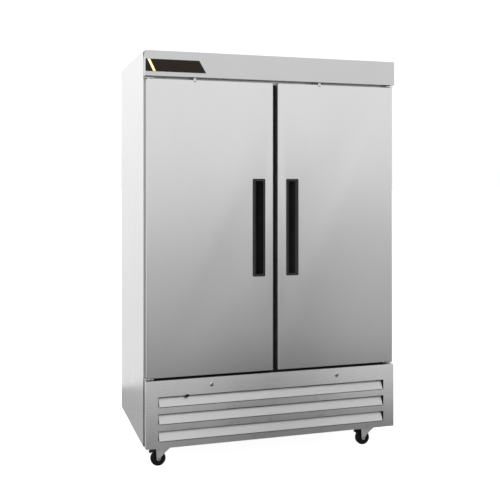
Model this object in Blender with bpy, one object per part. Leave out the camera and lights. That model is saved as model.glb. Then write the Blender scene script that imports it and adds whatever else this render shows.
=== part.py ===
"""Two-section reach-in refrigerator on casters, with its condensing unit under the cabinet.

Metres, +Z up. The origin is on the floor under the middle of the cabinet, the doors face -Y,
and each object is one physical piece of the refrigerator.
"""

import math

import bmesh
import bpy
from mathutils import Matrix, Vector

# --- driving dimensions ------------------------------------------------------------------
WIDTH = 1.372
DEPTH = 0.820
HEIGHT = 2.095
CASTER_HEIGHT = 0.105
GAP = 0.0003                    # running gap between pieces that touch
PAST = 0.010                    # how far a cutter runs past the faces that it cuts

FRONT = -DEPTH / 2              # frontmost plane: handle rims and name plate
BACK = DEPTH / 2
HALF = WIDTH / 2
FACE = FRONT + 0.0028           # front face of the doors, fascia and base grille
CARCASS_FRONT = -0.353          # front face of the cabinet's face frame

# sheet metal and insulation
SKIN = 0.001
COVER = 0.0012                  # sheet of the fascia, the grille and other small covers
INNER_HALF = 0.626              # inside half width of the liner
INNER_BACK = 0.350
INNER_FLOOR = 0.475
INNER_CEILING = 1.935
FRAME_DEPTH = 0.012
FRAME_BOTTOM = 0.398            # underside of the insulated box
MULLION_HALF = 0.045
CARCASS_SETBACK = 0.003         # from the face frame's front to the deck and the chassis

# rear skin: columns and rows of air slots, and the power inlet
SLOT_COLUMNS = (-0.560, -0.280, 0.050)
SLOT_LENGTH = 0.230
SLOT_HEIGHT = 0.008
SLOT_LOWEST = 0.150
SLOT_PITCH = 0.024
SLOT_ROWS = 9
INLET_X = 0.500
INLET_Z = 0.220
INLET_BODY = (0.060, 0.040)     # width and height of the hole in the skin
INLET_FLANGE = (0.080, 0.060)
INLET_SOCKET = (0.040, 0.026)

# chassis tray
TRAY_LIP = 0.028
TRAY_WALL = 0.003
PAD_HALF_X = 0.050              # caster pads under the tray
PAD_HALF_Y = 0.042
PAD_DROP = 0.0045
RACE_RADIUS = 0.024

# front bands, from the floor up
GRILLE_TOP = 0.4435
GRILLE_HALF = HALF - 0.0035      # the cover stops short of the side skins, leaving a seam
DOOR_BOTTOM = 0.457
DOOR_TOP = 1.954
FASCIA_BOTTOM = 1.968
RETURN_END = CARCASS_FRONT - 0.0045   # rear ends of the fascia's and the grille's sides
PLATE_LOW = 1.990               # name plate, with a slanted right-hand end
PLATE_HIGH = 2.052
PLATE_LEFT = -0.684
PLATE_RIGHT_LOW = -0.374
PLATE_RIGHT_HIGH = -0.410

# doors
DOOR_OUTER = HALF - 0.0085      # hinge-side edge of a door
DOOR_INNER = 0.011              # free edge of a door
DOOR_BACK = -0.3672
DOOR_EDGE_RADIUS = 0.012
DOOR_SKIN = 0.001
HINGE_X = 0.664
HINGE_Y = -0.387
PIN_RADIUS = 0.005
PIN_HOLE_RADIUS = 0.0055
GASKET_OUTER_X = 0.662
GASKET_INNER_X = 0.0225
GASKET_WIDTH = 0.022
GASKET_LOW = DOOR_BOTTOM + 0.007
GASKET_HIGH = DOOR_TOP - 0.007
LUG_MIDDLES = {"left": -0.4325, "right": 0.246}
LUG_HALF = 0.0075
LUG_HEIGHT = 0.012

# hinge brackets
HINGE_PLATE = 0.004
HINGE_LEG = 0.003               # sheet of the leg that is screwed to the face frame
HINGE_LEG_HEIGHT = 0.066
HINGE_CLEARANCE = 0.0045        # between a door's end and the bracket's plate
HINGE_PIN_REACH = 0.026
HINGE_LEFT = -HALF + 0.003
HINGE_RIGHT = -HINGE_X + 0.022

# handles
HANDLE_X = 0.092                # middle of a handle from the cabinet's middle
HANDLE_WIDTH = 0.068
HANDLE_LOW = 0.948
HANDLE_HIGH = 1.455
HANDLE_RIM = 0.012
HANDLE_DEPTH = 0.030
HANDLE_WALL = 0.002
HANDLE_LIP = 0.005              # how far the grip lip overhangs the pocket

# base grille
LOUVRE_HALF = 0.620
LOUVRE_BOTTOMS = (0.141, 0.2265, 0.312)
LOUVRE_OPENING = 0.050
BLADE_RUN = 0.024
BLADE_RISE = 0.050
BLADE_END_CLEARANCE = 0.005

# casters: the swivel axes, and the wheels trailing towards -X
SWIVEL_X = 0.567
SWIVEL_Y = 0.338
TRAIL = 0.042
WHEEL_RADIUS = 0.038
WHEEL_WIDTH = 0.030
TYRE_SHOULDER = 0.004
HUB_DISH = 0.005                # how deep the hub's web lies inside the tyre's sides
HUB_RADIUS = 0.011
WEB_OUTER = 0.026
AXLE_RADIUS = 0.0045
AXLE_BORE = 0.0052
FORK_TOP = 0.0972
FORK_SHEET = 0.0025
CROWN_RADIUS = 0.024
CROWN_HEIGHT = 0.006
PEDAL_PIVOT_Z = 0.0845
PEDAL_HALF_SHEET = 0.0035
PEDAL_REACH = 0.044
PEDAL_DROP = 0.020

# shelves
SHELF_HEIGHTS = (0.640, 0.985, 1.330)
SHELF_INNER = 0.012
SHELF_OUTER = 0.616
SHELF_FRONT = -0.305
SHELF_BACK = 0.335
SHELF_THICKNESS = 0.008
SHELF_BORDER = 0.010
SHELF_BAR = 0.006
SHELF_SLOTS = 12

# evaporator, under the ceiling at the back
EVAPORATOR_HALF = 0.300
EVAPORATOR_FRONT = 0.030
EVAPORATOR_BACK = 0.345
EVAPORATOR_BOTTOM = 1.735
EVAPORATOR_FAN_Z = 1.835
EVAPORATOR_FAN_Y = 0.050
EVAPORATOR_FAN_RADIUS = 0.078
EVAPORATOR_HUB_RADIUS = 0.020
EVAPORATOR_COIL_LOW = (-0.270, 0.150, 1.750)
EVAPORATOR_COIL_HIGH = (0.270, 0.310, 1.910)
LIGHT_HALF = 0.250
LIGHT_FRONT = -0.205
LIGHT_BACK = -0.165
LIGHT_DROP = 0.022
KNOB_X = 0.235
KNOB_Z = 1.790
KNOB_RADIUS = 0.019

# condensing unit, on the chassis
DECK_TOP = 0.108                # upper face of the chassis plate
CONDENSER_LOW_X = 0.060
CONDENSER_HIGH_X = 0.420
CONDENSER_FRONT = -0.315
CONDENSER_BACK = -0.255
CONDENSER_TOP = 0.372
CONDENSER_FAN_X = (CONDENSER_LOW_X + CONDENSER_HIGH_X) / 2
CONDENSER_FAN_Z = 0.242
CONDENSER_FAN_Y = -0.222
CONDENSER_FAN_RADIUS = 0.105
CONDENSER_HUB_RADIUS = 0.026
SHROUD_DEPTH = 0.030
FAN_CLEARANCE = 0.008           # between a fan's tips and the ring around it
COMPRESSOR_X = -0.360
COMPRESSOR_Y = 0.100
COMPRESSOR_FOOT = (0.100, 0.080)     # half width and half depth of the foot plate
PAN_LOW_X = -0.200
PAN_HIGH_X = 0.300
PAN_FRONT = 0.130
PAN_BACK = 0.360
PAN_HEIGHT = 0.035
PAN_WALL = 0.002
CONTROL_LOW = (-0.620, -0.320)
CONTROL_HIGH = (-0.480, -0.230)
CONTROL_TOP = 0.345

# colours: linear RGB, roughness, metallic
FINISHES = {
    "stainless": ((0.50, 0.50, 0.49), 0.33, 1.0),
    "galvanised": ((0.42, 0.43, 0.44), 0.45, 1.0),
    "liner": ((0.62, 0.63, 0.64), 0.38, 1.0),
    "foam": ((0.75, 0.62, 0.35), 0.95, 0.0),
    "vinyl": ((0.36, 0.37, 0.38), 0.55, 0.0),
    "black_plastic": ((0.018, 0.018, 0.019), 0.42, 0.0),
    "plate": ((0.035, 0.026, 0.018), 0.30, 0.0),
    "zinc": ((0.48, 0.49, 0.50), 0.35, 1.0),
    "tread": ((0.012, 0.012, 0.012), 0.60, 0.0),
    "shelf_coat": ((0.55, 0.56, 0.56), 0.45, 0.0),
    "enamel": ((0.010, 0.010, 0.011), 0.30, 0.0),
    "fins": ((0.60, 0.61, 0.62), 0.40, 1.0),
    "lens": ((0.85, 0.86, 0.85), 0.20, 0.0),
}


# --- modelling helpers -------------------------------------------------------------------
def clear_scene():
    for obj in list(bpy.data.objects):
        bpy.data.objects.remove(obj, do_unlink=True)


def finish(name):
    """The material of that name, made the first time it is asked for."""
    if name in bpy.data.materials:
        return bpy.data.materials[name]
    colour, roughness, metallic = FINISHES[name]
    made = bpy.data.materials.new(name)
    made.use_nodes = True
    shader = made.node_tree.nodes["Principled BSDF"]
    shader.inputs["Base Color"].default_value = (*colour, 1.0)
    shader.inputs["Roughness"].default_value = roughness
    shader.inputs["Metallic"].default_value = metallic
    made.diffuse_color = (*colour, 1.0)
    return made


def pivot(name, place, parent=None):
    """An empty on a joint's axis, at a world position."""
    empty = bpy.data.objects.new(name, None)
    empty.empty_display_size = 0.03
    bpy.context.collection.objects.link(empty)
    empty["place"] = place
    empty.location = place
    if parent:
        empty.parent = parent
        empty.location = Vector(place) - Vector(parent["place"])
    return empty


def add(name, bm, finish_name, parent=None, smooth=False):
    """A bmesh in world coordinates as a named object, under a pivot if it moves."""
    if parent:
        bmesh.ops.translate(bm, vec=-Vector(parent["place"]), verts=bm.verts)
    mesh = bpy.data.meshes.new(name)
    bm.to_mesh(mesh)
    bm.free()
    mesh.materials.append(finish(finish_name))
    if smooth:
        mesh.shade_smooth()
        mesh.set_sharp_from_angle(angle=math.radians(35))
    obj = bpy.data.objects.new(name, mesh)
    obj.parent = parent
    bpy.context.collection.objects.link(obj)
    return obj


def box(low, high):
    bm = bmesh.new()
    bmesh.ops.create_cube(bm, size=1.0)
    low, high = Vector(low), Vector(high)
    bmesh.ops.scale(bm, vec=high - low, verts=bm.verts)
    bmesh.ops.translate(bm, vec=(high + low) / 2, verts=bm.verts)
    return bm


PLACE = {
    "X": lambda u, v, w: (w, u, v),
    "Y": lambda u, v, w: (u, w, v),
    "Z": lambda u, v, w: (u, v, w),
}


def prism(outline, axis, start, end):
    """An outline in the plane across an axis, extruded along that axis."""
    bm = bmesh.new()
    near, far = ([bm.verts.new(PLACE[axis](u, v, w)) for u, v in outline] for w in (start, end))
    bm.faces.new(near)
    bm.faces.new(far)
    for i in range(len(outline)):
        j = (i + 1) % len(outline)
        bm.faces.new((near[i], near[j], far[j], far[i]))
    bmesh.ops.recalc_face_normals(bm, faces=bm.faces)
    return bm


def rod(middle, radius, start, end, axis, segments=24):
    """A cylinder along an axis, with its middle in the plane across it."""
    turn = 2 * math.pi / segments
    outline = [
        (middle[0] + radius * math.cos(i * turn), middle[1] + radius * math.sin(i * turn))
        for i in range(segments)
    ]
    return prism(outline, axis, start, end)


def arc(middle, radius, start, end, steps):
    """Points on an arc from one angle to another, in degrees."""
    angles = (math.radians(start + (end - start) * i / steps) for i in range(steps + 1))
    return [(middle[0] + radius * math.cos(a), middle[1] + radius * math.sin(a)) for a in angles]


def lathe(profile, middle, axis, segments=28, ring=False):
    """A profile of (radius, height) turned round an axis; a ring's profile closes on itself."""
    bm = bmesh.new()
    turn = 2 * math.pi / segments
    rings = []
    for i in range(segments):
        c, s = math.cos(i * turn), math.sin(i * turn)
        points = (PLACE[axis](middle[0] + r * c, middle[1] + r * s, h) for r, h in profile)
        rings.append([bm.verts.new(point) for point in points])
    for i in range(segments):
        here, there = rings[i], rings[(i + 1) % segments]
        for k in range(len(profile) if ring else len(profile) - 1):
            m = (k + 1) % len(profile)
            bm.faces.new((here[k], here[m], there[m], there[k]))
    if not ring:
        bm.faces.new([points[0] for points in rings])
        bm.faces.new([points[-1] for points in rings])
    bmesh.ops.recalc_face_normals(bm, faces=bm.faces)
    return bm


def boolean(base, tool, operation):
    """Two solids combined with Blender's exact Boolean. Both inputs are used up."""
    pair = []
    for bm in (base, tool):
        mesh = bpy.data.meshes.new("operand")
        bm.to_mesh(mesh)
        bm.free()
        obj = bpy.data.objects.new("operand", mesh)
        bpy.context.collection.objects.link(obj)
        pair.append(obj)
    modifier = pair[0].modifiers.new("combine", "BOOLEAN")
    modifier.operation = operation
    modifier.solver = "EXACT"
    modifier.object = pair[1]
    evaluated = pair[0].evaluated_get(bpy.context.evaluated_depsgraph_get())
    result = bmesh.new()
    result.from_mesh(evaluated.to_mesh())
    for obj in pair:
        mesh = obj.data
        bpy.data.objects.remove(obj)
        bpy.data.meshes.remove(mesh)
    return result


def cut(base, *tools):
    for tool in tools:
        base = boolean(base, tool, "DIFFERENCE")
    return base


def join(base, *tools):
    for tool in tools:
        base = boolean(base, tool, "UNION")
    return base


def grid_plate(us, vs, start, end, axis, holes):
    """A plate across an axis, divided by lines at us and vs, without the cells in holes."""
    bm = bmesh.new()
    corner = {}
    solid = {
        (i, j) for i in range(len(us) - 1) for j in range(len(vs) - 1) if (i, j) not in holes
    }

    def vert(i, j, w):
        if (i, j, w) not in corner:
            corner[i, j, w] = bm.verts.new(PLACE[axis](us[i], vs[j], w))
        return corner[i, j, w]

    for i, j in solid:
        for w in (start, end):
            bm.faces.new((vert(i, j, w), vert(i + 1, j, w), vert(i + 1, j + 1, w), vert(i, j + 1, w)))
        sides = (
            ((i - 1, j), (i, j), (i, j + 1)),
            ((i + 1, j), (i + 1, j), (i + 1, j + 1)),
            ((i, j - 1), (i, j), (i + 1, j)),
            ((i, j + 1), (i, j + 1), (i + 1, j + 1)),
        )
        for neighbour, a, b in sides:
            if neighbour not in solid:
                bm.faces.new((vert(*a, start), vert(*b, start), vert(*b, end), vert(*a, end)))
    bmesh.ops.recalc_face_normals(bm, faces=bm.faces)
    return bm


def frame_sweep(section, left, right, low, high):
    """A section of (inward, y) points swept round a rectangle in the XZ plane, mitred."""
    bm = bmesh.new()
    corners = ((left, low, 1, 1), (right, low, -1, 1), (right, high, -1, -1), (left, high, 1, -1))
    rings = [
        [bm.verts.new((x + sx * inward, y, z + sz * inward)) for inward, y in section]
        for x, z, sx, sz in corners
    ]
    for i in range(4):
        here, there = rings[i], rings[(i + 1) % 4]
        for k in range(len(section)):
            m = (k + 1) % len(section)
            bm.faces.new((here[k], here[m], there[m], there[k]))
    bmesh.ops.recalc_face_normals(bm, faces=bm.faces)
    return bm


def mirrored(bm, side):
    """A piece drawn for the left side, flipped across the YZ plane for the right side."""
    if side == "right":
        bmesh.ops.scale(bm, vec=(-1, 1, 1), verts=bm.verts)
        bmesh.ops.reverse_faces(bm, faces=bm.faces)
    return bm


# --- cabinet -----------------------------------------------------------------------------
def outer_skins():
    side_low = CASTER_HEIGHT
    side_high = HEIGHT - SKIN - GAP
    for side in ("left", "right"):
        bm = box(
            (-HALF, CARCASS_FRONT + SKIN, side_low),
            (-HALF + SKIN, BACK - SKIN - GAP, side_high),
        )
        add(f"side_panel_{side}", mirrored(bm, side), "stainless")
    top = box((-HALF, CARCASS_FRONT + SKIN, HEIGHT - SKIN), (HALF, BACK, HEIGHT))
    add("top_panel", top, "galvanised")
    add("back_panel", back_panel(side_low, side_high), "galvanised")


def back_panel(low, high):
    """The rear skin, with rows of air slots across the condensing unit and the inlet's hole."""
    us = [-HALF]
    for column in SLOT_COLUMNS:
        us += [column, column + SLOT_LENGTH]
    us.append(HALF)
    vs = [low]
    for row in range(SLOT_ROWS):
        bottom = SLOT_LOWEST + SLOT_PITCH * row
        vs += [bottom, bottom + SLOT_HEIGHT]
    vs.append(high)
    columns = range(1, 2 * len(SLOT_COLUMNS), 2)
    holes = {(i, j) for i in columns for j in range(1, 2 * SLOT_ROWS, 2)}
    panel = grid_plate(us, vs, BACK - SKIN, BACK, "Y", holes)
    return cut(panel, inlet_box(INLET_BODY, 0, BACK - PAST, BACK + PAST))


def inlet_box(size, clearance, front, back):
    """A box round the power inlet's middle, smaller than its size by a clearance."""
    half_x, half_z = size[0] / 2 - clearance, size[1] / 2 - clearance
    return box((INLET_X - half_x, front, INLET_Z - half_z), (INLET_X + half_x, back, INLET_Z + half_z))


def insulation():
    """The foam tub, open at the front, with the cavity that the liner fills."""
    outer = HALF - SKIN - GAP
    front = CARCASS_FRONT + FRAME_DEPTH + GAP
    tub = box((-outer, front, FRAME_BOTTOM), (outer, BACK - SKIN - GAP, HEIGHT - SKIN - GAP))
    inner = INNER_HALF + SKIN + GAP
    cavity = box(
        (-inner, front - PAST, INNER_FLOOR - SKIN - GAP),
        (inner, INNER_BACK + SKIN + GAP, INNER_CEILING + SKIN + GAP),
    )
    add("foam_tub", cut(tub, cavity), "foam")
    deck = box(
        (-outer, CARCASS_FRONT + CARCASS_SETBACK, FRAME_BOTTOM - GAP - SKIN),
        (outer, BACK - SKIN - GAP, FRAME_BOTTOM - GAP),
    )
    add("deck_panel", deck, "galvanised")


def liner():
    front = CARCASS_FRONT + FRAME_DEPTH + GAP
    inside = INNER_HALF - GAP
    low, high = INNER_FLOOR, INNER_CEILING
    back = INNER_BACK - GAP
    for side in ("left", "right"):
        wall = box(
            (-INNER_HALF - SKIN, front, low - SKIN),
            (-INNER_HALF, INNER_BACK + SKIN, high + SKIN),
        )
        add(f"liner_{side}", mirrored(wall, side), "liner")
    add("liner_floor", box((-inside, front, low - SKIN), (inside, back, low)), "liner")
    add("liner_ceiling", box((-inside, front, high), (inside, back, high + SKIN)), "liner")
    rear = box((-inside, INNER_BACK, low - SKIN), (inside, INNER_BACK + SKIN, high + SKIN))
    add("liner_back", rear, "liner")


def face_frame():
    """The breaker frame round both door openings, with the mullion between them."""
    outer = HALF - SKIN - GAP
    us = [-outer, -INNER_HALF, -MULLION_HALF, MULLION_HALF, INNER_HALF, outer]
    vs = [FRAME_BOTTOM, INNER_FLOOR, INNER_CEILING, HEIGHT - SKIN - GAP]
    frame = grid_plate(us, vs, CARCASS_FRONT, CARCASS_FRONT + FRAME_DEPTH, "Y", {(1, 1), (3, 1)})
    add("face_frame", frame, "black_plastic")


def chassis():
    """The base tray, with a pad and a swivel race under it at each caster."""
    outer = HALF - SKIN - GAP
    front, back = CARCASS_FRONT + CARCASS_SETBACK, BACK - SKIN - GAP
    tray = cut(
        box((-outer, front, CASTER_HEIGHT), (outer, back, CASTER_HEIGHT + TRAY_LIP)),
        box(
            (-outer + TRAY_WALL, front + TRAY_WALL, DECK_TOP),
            (outer - TRAY_WALL, back - TRAY_WALL, DECK_TOP + TRAY_LIP),
        ),
    )
    overlap = 0.001
    pad_top = CASTER_HEIGHT - GAP
    for x, y in caster_places():
        low_x, high_x = x - PAD_HALF_X, x + PAD_HALF_X
        pad = box(
            (low_x, y - PAD_HALF_Y, CASTER_HEIGHT - PAD_DROP),
            (high_x, y + PAD_HALF_Y, pad_top),
        )
        # the pad reaches in front of the tray, under the grille, so only this part joins the two
        boss = box(
            (low_x, max(y - PAD_HALF_Y, front + overlap), pad_top - overlap),
            (high_x, y + PAD_HALF_Y, DECK_TOP - overlap),
        )
        race = rod((x, y), RACE_RADIUS, FORK_TOP + GAP, pad_top - overlap, "Z")
        tray = join(tray, pad, boss, race)
    add("base_chassis", tray, "galvanised")


# --- front covers ------------------------------------------------------------------------
def fascia():
    """The header cover: a pan, open at the back, with the name plate on it."""
    pan = cut(
        box((-HALF, FACE, FASCIA_BOTTOM), (HALF, RETURN_END, HEIGHT)),
        box(
            (-HALF + COVER, FACE + COVER, FASCIA_BOTTOM + COVER),
            (HALF - COVER, RETURN_END + PAST, HEIGHT - COVER),
        ),
    )
    add("fascia_panel", pan, "stainless")
    outline = [
        (PLATE_LEFT, PLATE_LOW), (PLATE_RIGHT_LOW, PLATE_LOW),
        (PLATE_RIGHT_HIGH, PLATE_HIGH), (PLATE_LEFT, PLATE_HIGH),
    ]
    add("name_plate", prism(outline, "Y", FRONT + 0.0008, FACE - GAP), "plate")


def base_grille():
    """The louvred cover: flat strips, and blades that slope up and inwards from them."""
    blade_half = LOUVRE_HALF - BLADE_END_CLEARANCE
    us = [
        -GRILLE_HALF, -GRILLE_HALF + COVER, -LOUVRE_HALF, -blade_half,
        blade_half, LOUVRE_HALF, GRILLE_HALF - COVER, GRILLE_HALF,
    ]
    vs = [CASTER_HEIGHT, CASTER_HEIGHT + COVER]
    for bottom in LOUVRE_BOTTOMS:
        vs += [bottom, bottom + LOUVRE_OPENING]
    vs += [GRILLE_TOP - COVER, GRILLE_TOP]
    holes = {(i, j) for i in (2, 3, 4) for j in (2, 4, 6)}
    bm = grid_plate(us, vs, FACE, FACE + COVER, "Y", holes)

    def extrude(faces, step):
        made = bmesh.ops.extrude_face_region(bm, geom=faces)["geom"]
        verts = [item for item in made if isinstance(item, bmesh.types.BMVert)]
        bmesh.ops.translate(bm, vec=step, verts=verts)
        bmesh.ops.delete(bm, geom=[face for face in faces if face.is_valid], context="FACES")

    for bottom in LOUVRE_BOTTOMS:
        sill = [
            face for face in bm.faces
            if face.normal.z > 0.9
            and abs(face.calc_center_median().z - bottom) < GAP
            and abs(face.calc_center_median().x) < blade_half / 2
        ]
        extrude(sill, (0, BLADE_RUN, BLADE_RISE))
    rim = []
    for face in bm.faces:
        middle = face.calc_center_median()
        at_edge = abs(middle.x) > GRILLE_HALF - COVER or not vs[1] < middle.z < vs[-2]
        if face.normal.y > 0.9 and at_edge:
            rim.append(face)
    extrude(rim, (0, RETURN_END - FACE - COVER, 0))
    bmesh.ops.recalc_face_normals(bm, faces=bm.faces)
    add("grille_panel", bm, "stainless")


# --- doors -------------------------------------------------------------------------------
def door_outline(inset):
    """Plan of the left door: rounded at its two front edges, open side at the back."""
    left, right = -DOOR_OUTER + inset, -DOOR_INNER - inset
    front = FACE + inset
    radius = DOOR_EDGE_RADIUS - inset
    points = arc((left + radius, front + radius), radius, 180, 270, 5)
    points += arc((right - radius, front + radius), radius, 270, 360, 5)
    return points


def pocket_cutter(clearance, depth):
    """The box that the handle's cup needs through the left door's skin and foam."""
    half = HANDLE_WIDTH / 2 - HANDLE_RIM + HANDLE_LIP + HANDLE_WALL + clearance
    return box(
        (-HANDLE_X - half, FACE - PAST, HANDLE_LOW + HANDLE_RIM - HANDLE_WALL - clearance),
        (-HANDLE_X + half, FACE + depth, HANDLE_HIGH - HANDLE_RIM + HANDLE_WALL + clearance),
    )


def door_pan():
    """The folded outer skin, open at the back, with holes for the handle and the pins."""
    shell = prism(
        [*door_outline(0), (-DOOR_INNER, DOOR_BACK), (-DOOR_OUTER, DOOR_BACK)],
        "Z", DOOR_BOTTOM, DOOR_TOP,
    )
    open_back = DOOR_BACK + PAST
    left, right = -DOOR_OUTER + DOOR_SKIN, -DOOR_INNER - DOOR_SKIN
    hollow = prism(
        [*door_outline(DOOR_SKIN), (right, open_back), (left, open_back)],
        "Z", DOOR_BOTTOM + DOOR_SKIN, DOOR_TOP - DOOR_SKIN,
    )
    pin_hole = rod((-HINGE_X, HINGE_Y), PIN_HOLE_RADIUS, DOOR_BOTTOM - PAST, DOOR_TOP + PAST, "Z")
    return cut(shell, hollow, pocket_cutter(GAP, PAST), pin_hole)


def door_foam():
    inset = DOOR_SKIN + GAP
    back = DOOR_BACK - 0.0002
    core = prism(
        [*door_outline(inset), (-DOOR_INNER - inset, back), (-DOOR_OUTER + inset, back)], "Z",
        DOOR_BOTTOM + inset, DOOR_TOP - inset,
    )
    pin_room = 0.008
    pin_depth = 0.034
    return cut(
        core,
        pocket_cutter(2 * GAP, HANDLE_DEPTH + 0.002),
        rod((-HINGE_X, HINGE_Y), pin_room, DOOR_BOTTOM - PAST, DOOR_BOTTOM + pin_depth, "Z"),
        rod((-HINGE_X, HINGE_Y), pin_room, DOOR_TOP - pin_depth, DOOR_TOP + PAST, "Z"),
    )


def door_liner():
    """The door's rear skin, with a raised panel inside the gasket."""
    front = DOOR_BACK + GAP
    back = front + COVER
    rise = 0.012
    raised_edge, slope = 0.034, 0.008
    left, right = -GASKET_OUTER_X + raised_edge, -GASKET_INNER_X - raised_edge
    low, high = GASKET_LOW + raised_edge, GASKET_HIGH - raised_edge
    bm = grid_plate(
        [-DOOR_OUTER, left, right, -DOOR_INNER], [DOOR_BOTTOM, low, high, DOOR_TOP],
        front, back, "Y", set(),
    )
    raised = [
        face for face in bm.faces
        if abs(face.normal.y) > 0.9
        and left < face.calc_center_median().x < right
        and low < face.calc_center_median().z < high
    ]
    for face in raised:
        bmesh.ops.inset_individual(bm, faces=[face], thickness=slope)
        bmesh.ops.translate(bm, vec=(0, rise, 0), verts=face.verts)
    return bm


def door_gasket():
    """Magnetic bulb seal: a wide foot on the door and a narrower bulb against the frame."""
    foot = DOOR_BACK + COVER + 2 * GAP
    tip = CARCASS_FRONT - GAP
    width = GASKET_WIDTH
    neck = foot + 0.0035
    section = [
        (0.0, foot), (width, foot), (width, foot + 0.002), (width * 0.72, neck),
        (width * 0.92, neck + 0.003), (width * 0.88, tip), (width * 0.12, tip),
        (width * 0.08, neck + 0.003), (width * 0.28, neck), (0.0, foot + 0.002),
    ]
    return frame_sweep(section, -GASKET_OUTER_X, -GASKET_INNER_X, GASKET_LOW, GASKET_HIGH)


def door_handle():
    """Recessed full-grip pull: a rim on the door's face and a cup that deepens towards the
    free edge, where the rim overhangs it as a lip for the fingers."""
    rim_half = HANDLE_WIDTH / 2
    flange = box(
        (-HANDLE_X - rim_half, FRONT, HANDLE_LOW),
        (-HANDLE_X + rim_half, FACE - GAP, HANDLE_HIGH),
    )
    cup_half = rim_half - HANDLE_RIM + HANDLE_LIP + HANDLE_WALL
    cup = box(
        (-HANDLE_X - cup_half, FRONT + 0.001, HANDLE_LOW + HANDLE_RIM - HANDLE_WALL),
        (-HANDLE_X + cup_half, FACE + HANDLE_DEPTH, HANDLE_HIGH - HANDLE_RIM + HANDLE_WALL),
    )
    mouth_half = rim_half - HANDLE_RIM
    left, right = -HANDLE_X - mouth_half, -HANDLE_X + mouth_half
    floor = FACE + HANDLE_DEPTH - HANDLE_WALL
    lip_back = FACE + 0.004
    sweep = [
        (left + (right - left) * t, FRONT + (floor - FRONT) * math.sin(t * math.pi / 2) ** 1.2)
        for t in (0.0, 0.15, 0.3, 0.45, 0.6, 0.8)
    ]
    outline = [
        (left, FRONT - PAST), *sweep, (right + HANDLE_LIP, floor),
        (right + HANDLE_LIP, lip_back), (right, lip_back), (right, FRONT - PAST),
    ]
    pocket = prism(outline, "Z", HANDLE_LOW + HANDLE_RIM, HANDLE_HIGH - HANDLE_RIM)
    return cut(join(flange, cup), pocket)


def door_lug(side):
    """The small catch block on a door's top edge."""
    middle = LUG_MIDDLES[side]
    return box(
        (middle - LUG_HALF, FACE + 0.002, DOOR_TOP + GAP),
        (middle + LUG_HALF, FACE + 0.022, DOOR_TOP + LUG_HEIGHT),
    )


def doors():
    for side, sign in (("left", -1), ("right", 1)):
        hinge = pivot(f"door_{side}_pivot", (sign * HINGE_X, HINGE_Y, DOOR_BOTTOM))
        pieces = (
            ("door_pan", door_pan, "stainless"),
            ("door_foam", door_foam, "foam"),
            ("door_liner", door_liner, "liner"),
            ("door_gasket", door_gasket, "vinyl"),
            ("door_handle", door_handle, "black_plastic"),
        )
        for name, make, finish_name in pieces:
            add(f"{name}_{side}", mirrored(make(), side), finish_name, hinge, name == "door_pan")
        add(f"door_lug_{side}", door_lug(side), "zinc", hinge)


def hinge_brackets():
    """Brackets on the face frame whose pins stand in the ends of the doors."""
    for side in ("left", "right"):
        top = hinge_bracket(DOOR_TOP, 1)
        add(f"hinge_bracket_top_{side}", mirrored(top, side), "zinc")
        bottom = hinge_bracket(DOOR_BOTTOM, -1)
        add(f"hinge_bracket_bottom_{side}", mirrored(bottom, side), "zinc")


def hinge_bracket(door_end, outwards):
    """The left door's bracket past one of its ends; outwards is 1 above and -1 below."""
    leg_back = CARCASS_FRONT - GAP
    plate_front = HINGE_Y - 0.010
    near = door_end + outwards * HINGE_CLEARANCE
    plate_z = sorted((near, near + outwards * HINGE_PLATE))
    leg_z = sorted((near, near + outwards * HINGE_LEG_HEIGHT))
    pin_z = sorted((door_end - outwards * HINGE_PIN_REACH, near + outwards * HINGE_PLATE / 4))
    return join(
        box((HINGE_LEFT, plate_front, plate_z[0]), (HINGE_RIGHT, leg_back, plate_z[1])),
        box((HINGE_LEFT, leg_back - HINGE_LEG, leg_z[0]), (HINGE_RIGHT, leg_back, leg_z[1])),
        rod((-HINGE_X, HINGE_Y), PIN_RADIUS, pin_z[0], pin_z[1], "Z"),
    )


# --- casters -----------------------------------------------------------------------------
def caster_places():
    return [(sx * SWIVEL_X, sy * SWIVEL_Y) for sy in (-1, 1) for sx in (-1, 1)]


def caster_fork(x, y):
    """Crown disc, two swept legs and the axle bolt. The wheel trails towards -X."""
    inside = WHEEL_WIDTH / 2 + 0.0025
    outside = inside + FORK_SHEET
    axle_x = x - TRAIL
    crown_low = FORK_TOP - CROWN_HEIGHT
    shoulder = FORK_TOP - CROWN_HEIGHT / 2
    leading_edge = [(x + 0.024, shoulder), (x + 0.018, crown_low - 0.006), (x - 0.006, 0.066)]
    sole = arc((axle_x, WHEEL_RADIUS), 0.010, 10, -190, 6)
    trailing_edge = [
        (axle_x - 0.012, 0.062), (axle_x - 0.014, crown_low - 0.003), (axle_x - 0.010, shoulder),
    ]
    outline = [*leading_edge, *sole, *trailing_edge]
    crown = rod((x, y), CROWN_RADIUS, crown_low, FORK_TOP, "Z")
    bridge = box(
        (axle_x - 0.010, y - outside, crown_low),
        (x + 0.022, y + outside, shoulder + 0.0002),
    )
    legs = [prism(outline, "Y", y - outside, y - inside), prism(outline, "Y", y + inside, y + outside)]
    bolt_half = outside + 0.004
    axle = rod((axle_x, WHEEL_RADIUS), AXLE_RADIUS, y - bolt_half, y + bolt_half, "Y", 16)
    return join(crown, bridge, *legs, axle)


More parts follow.
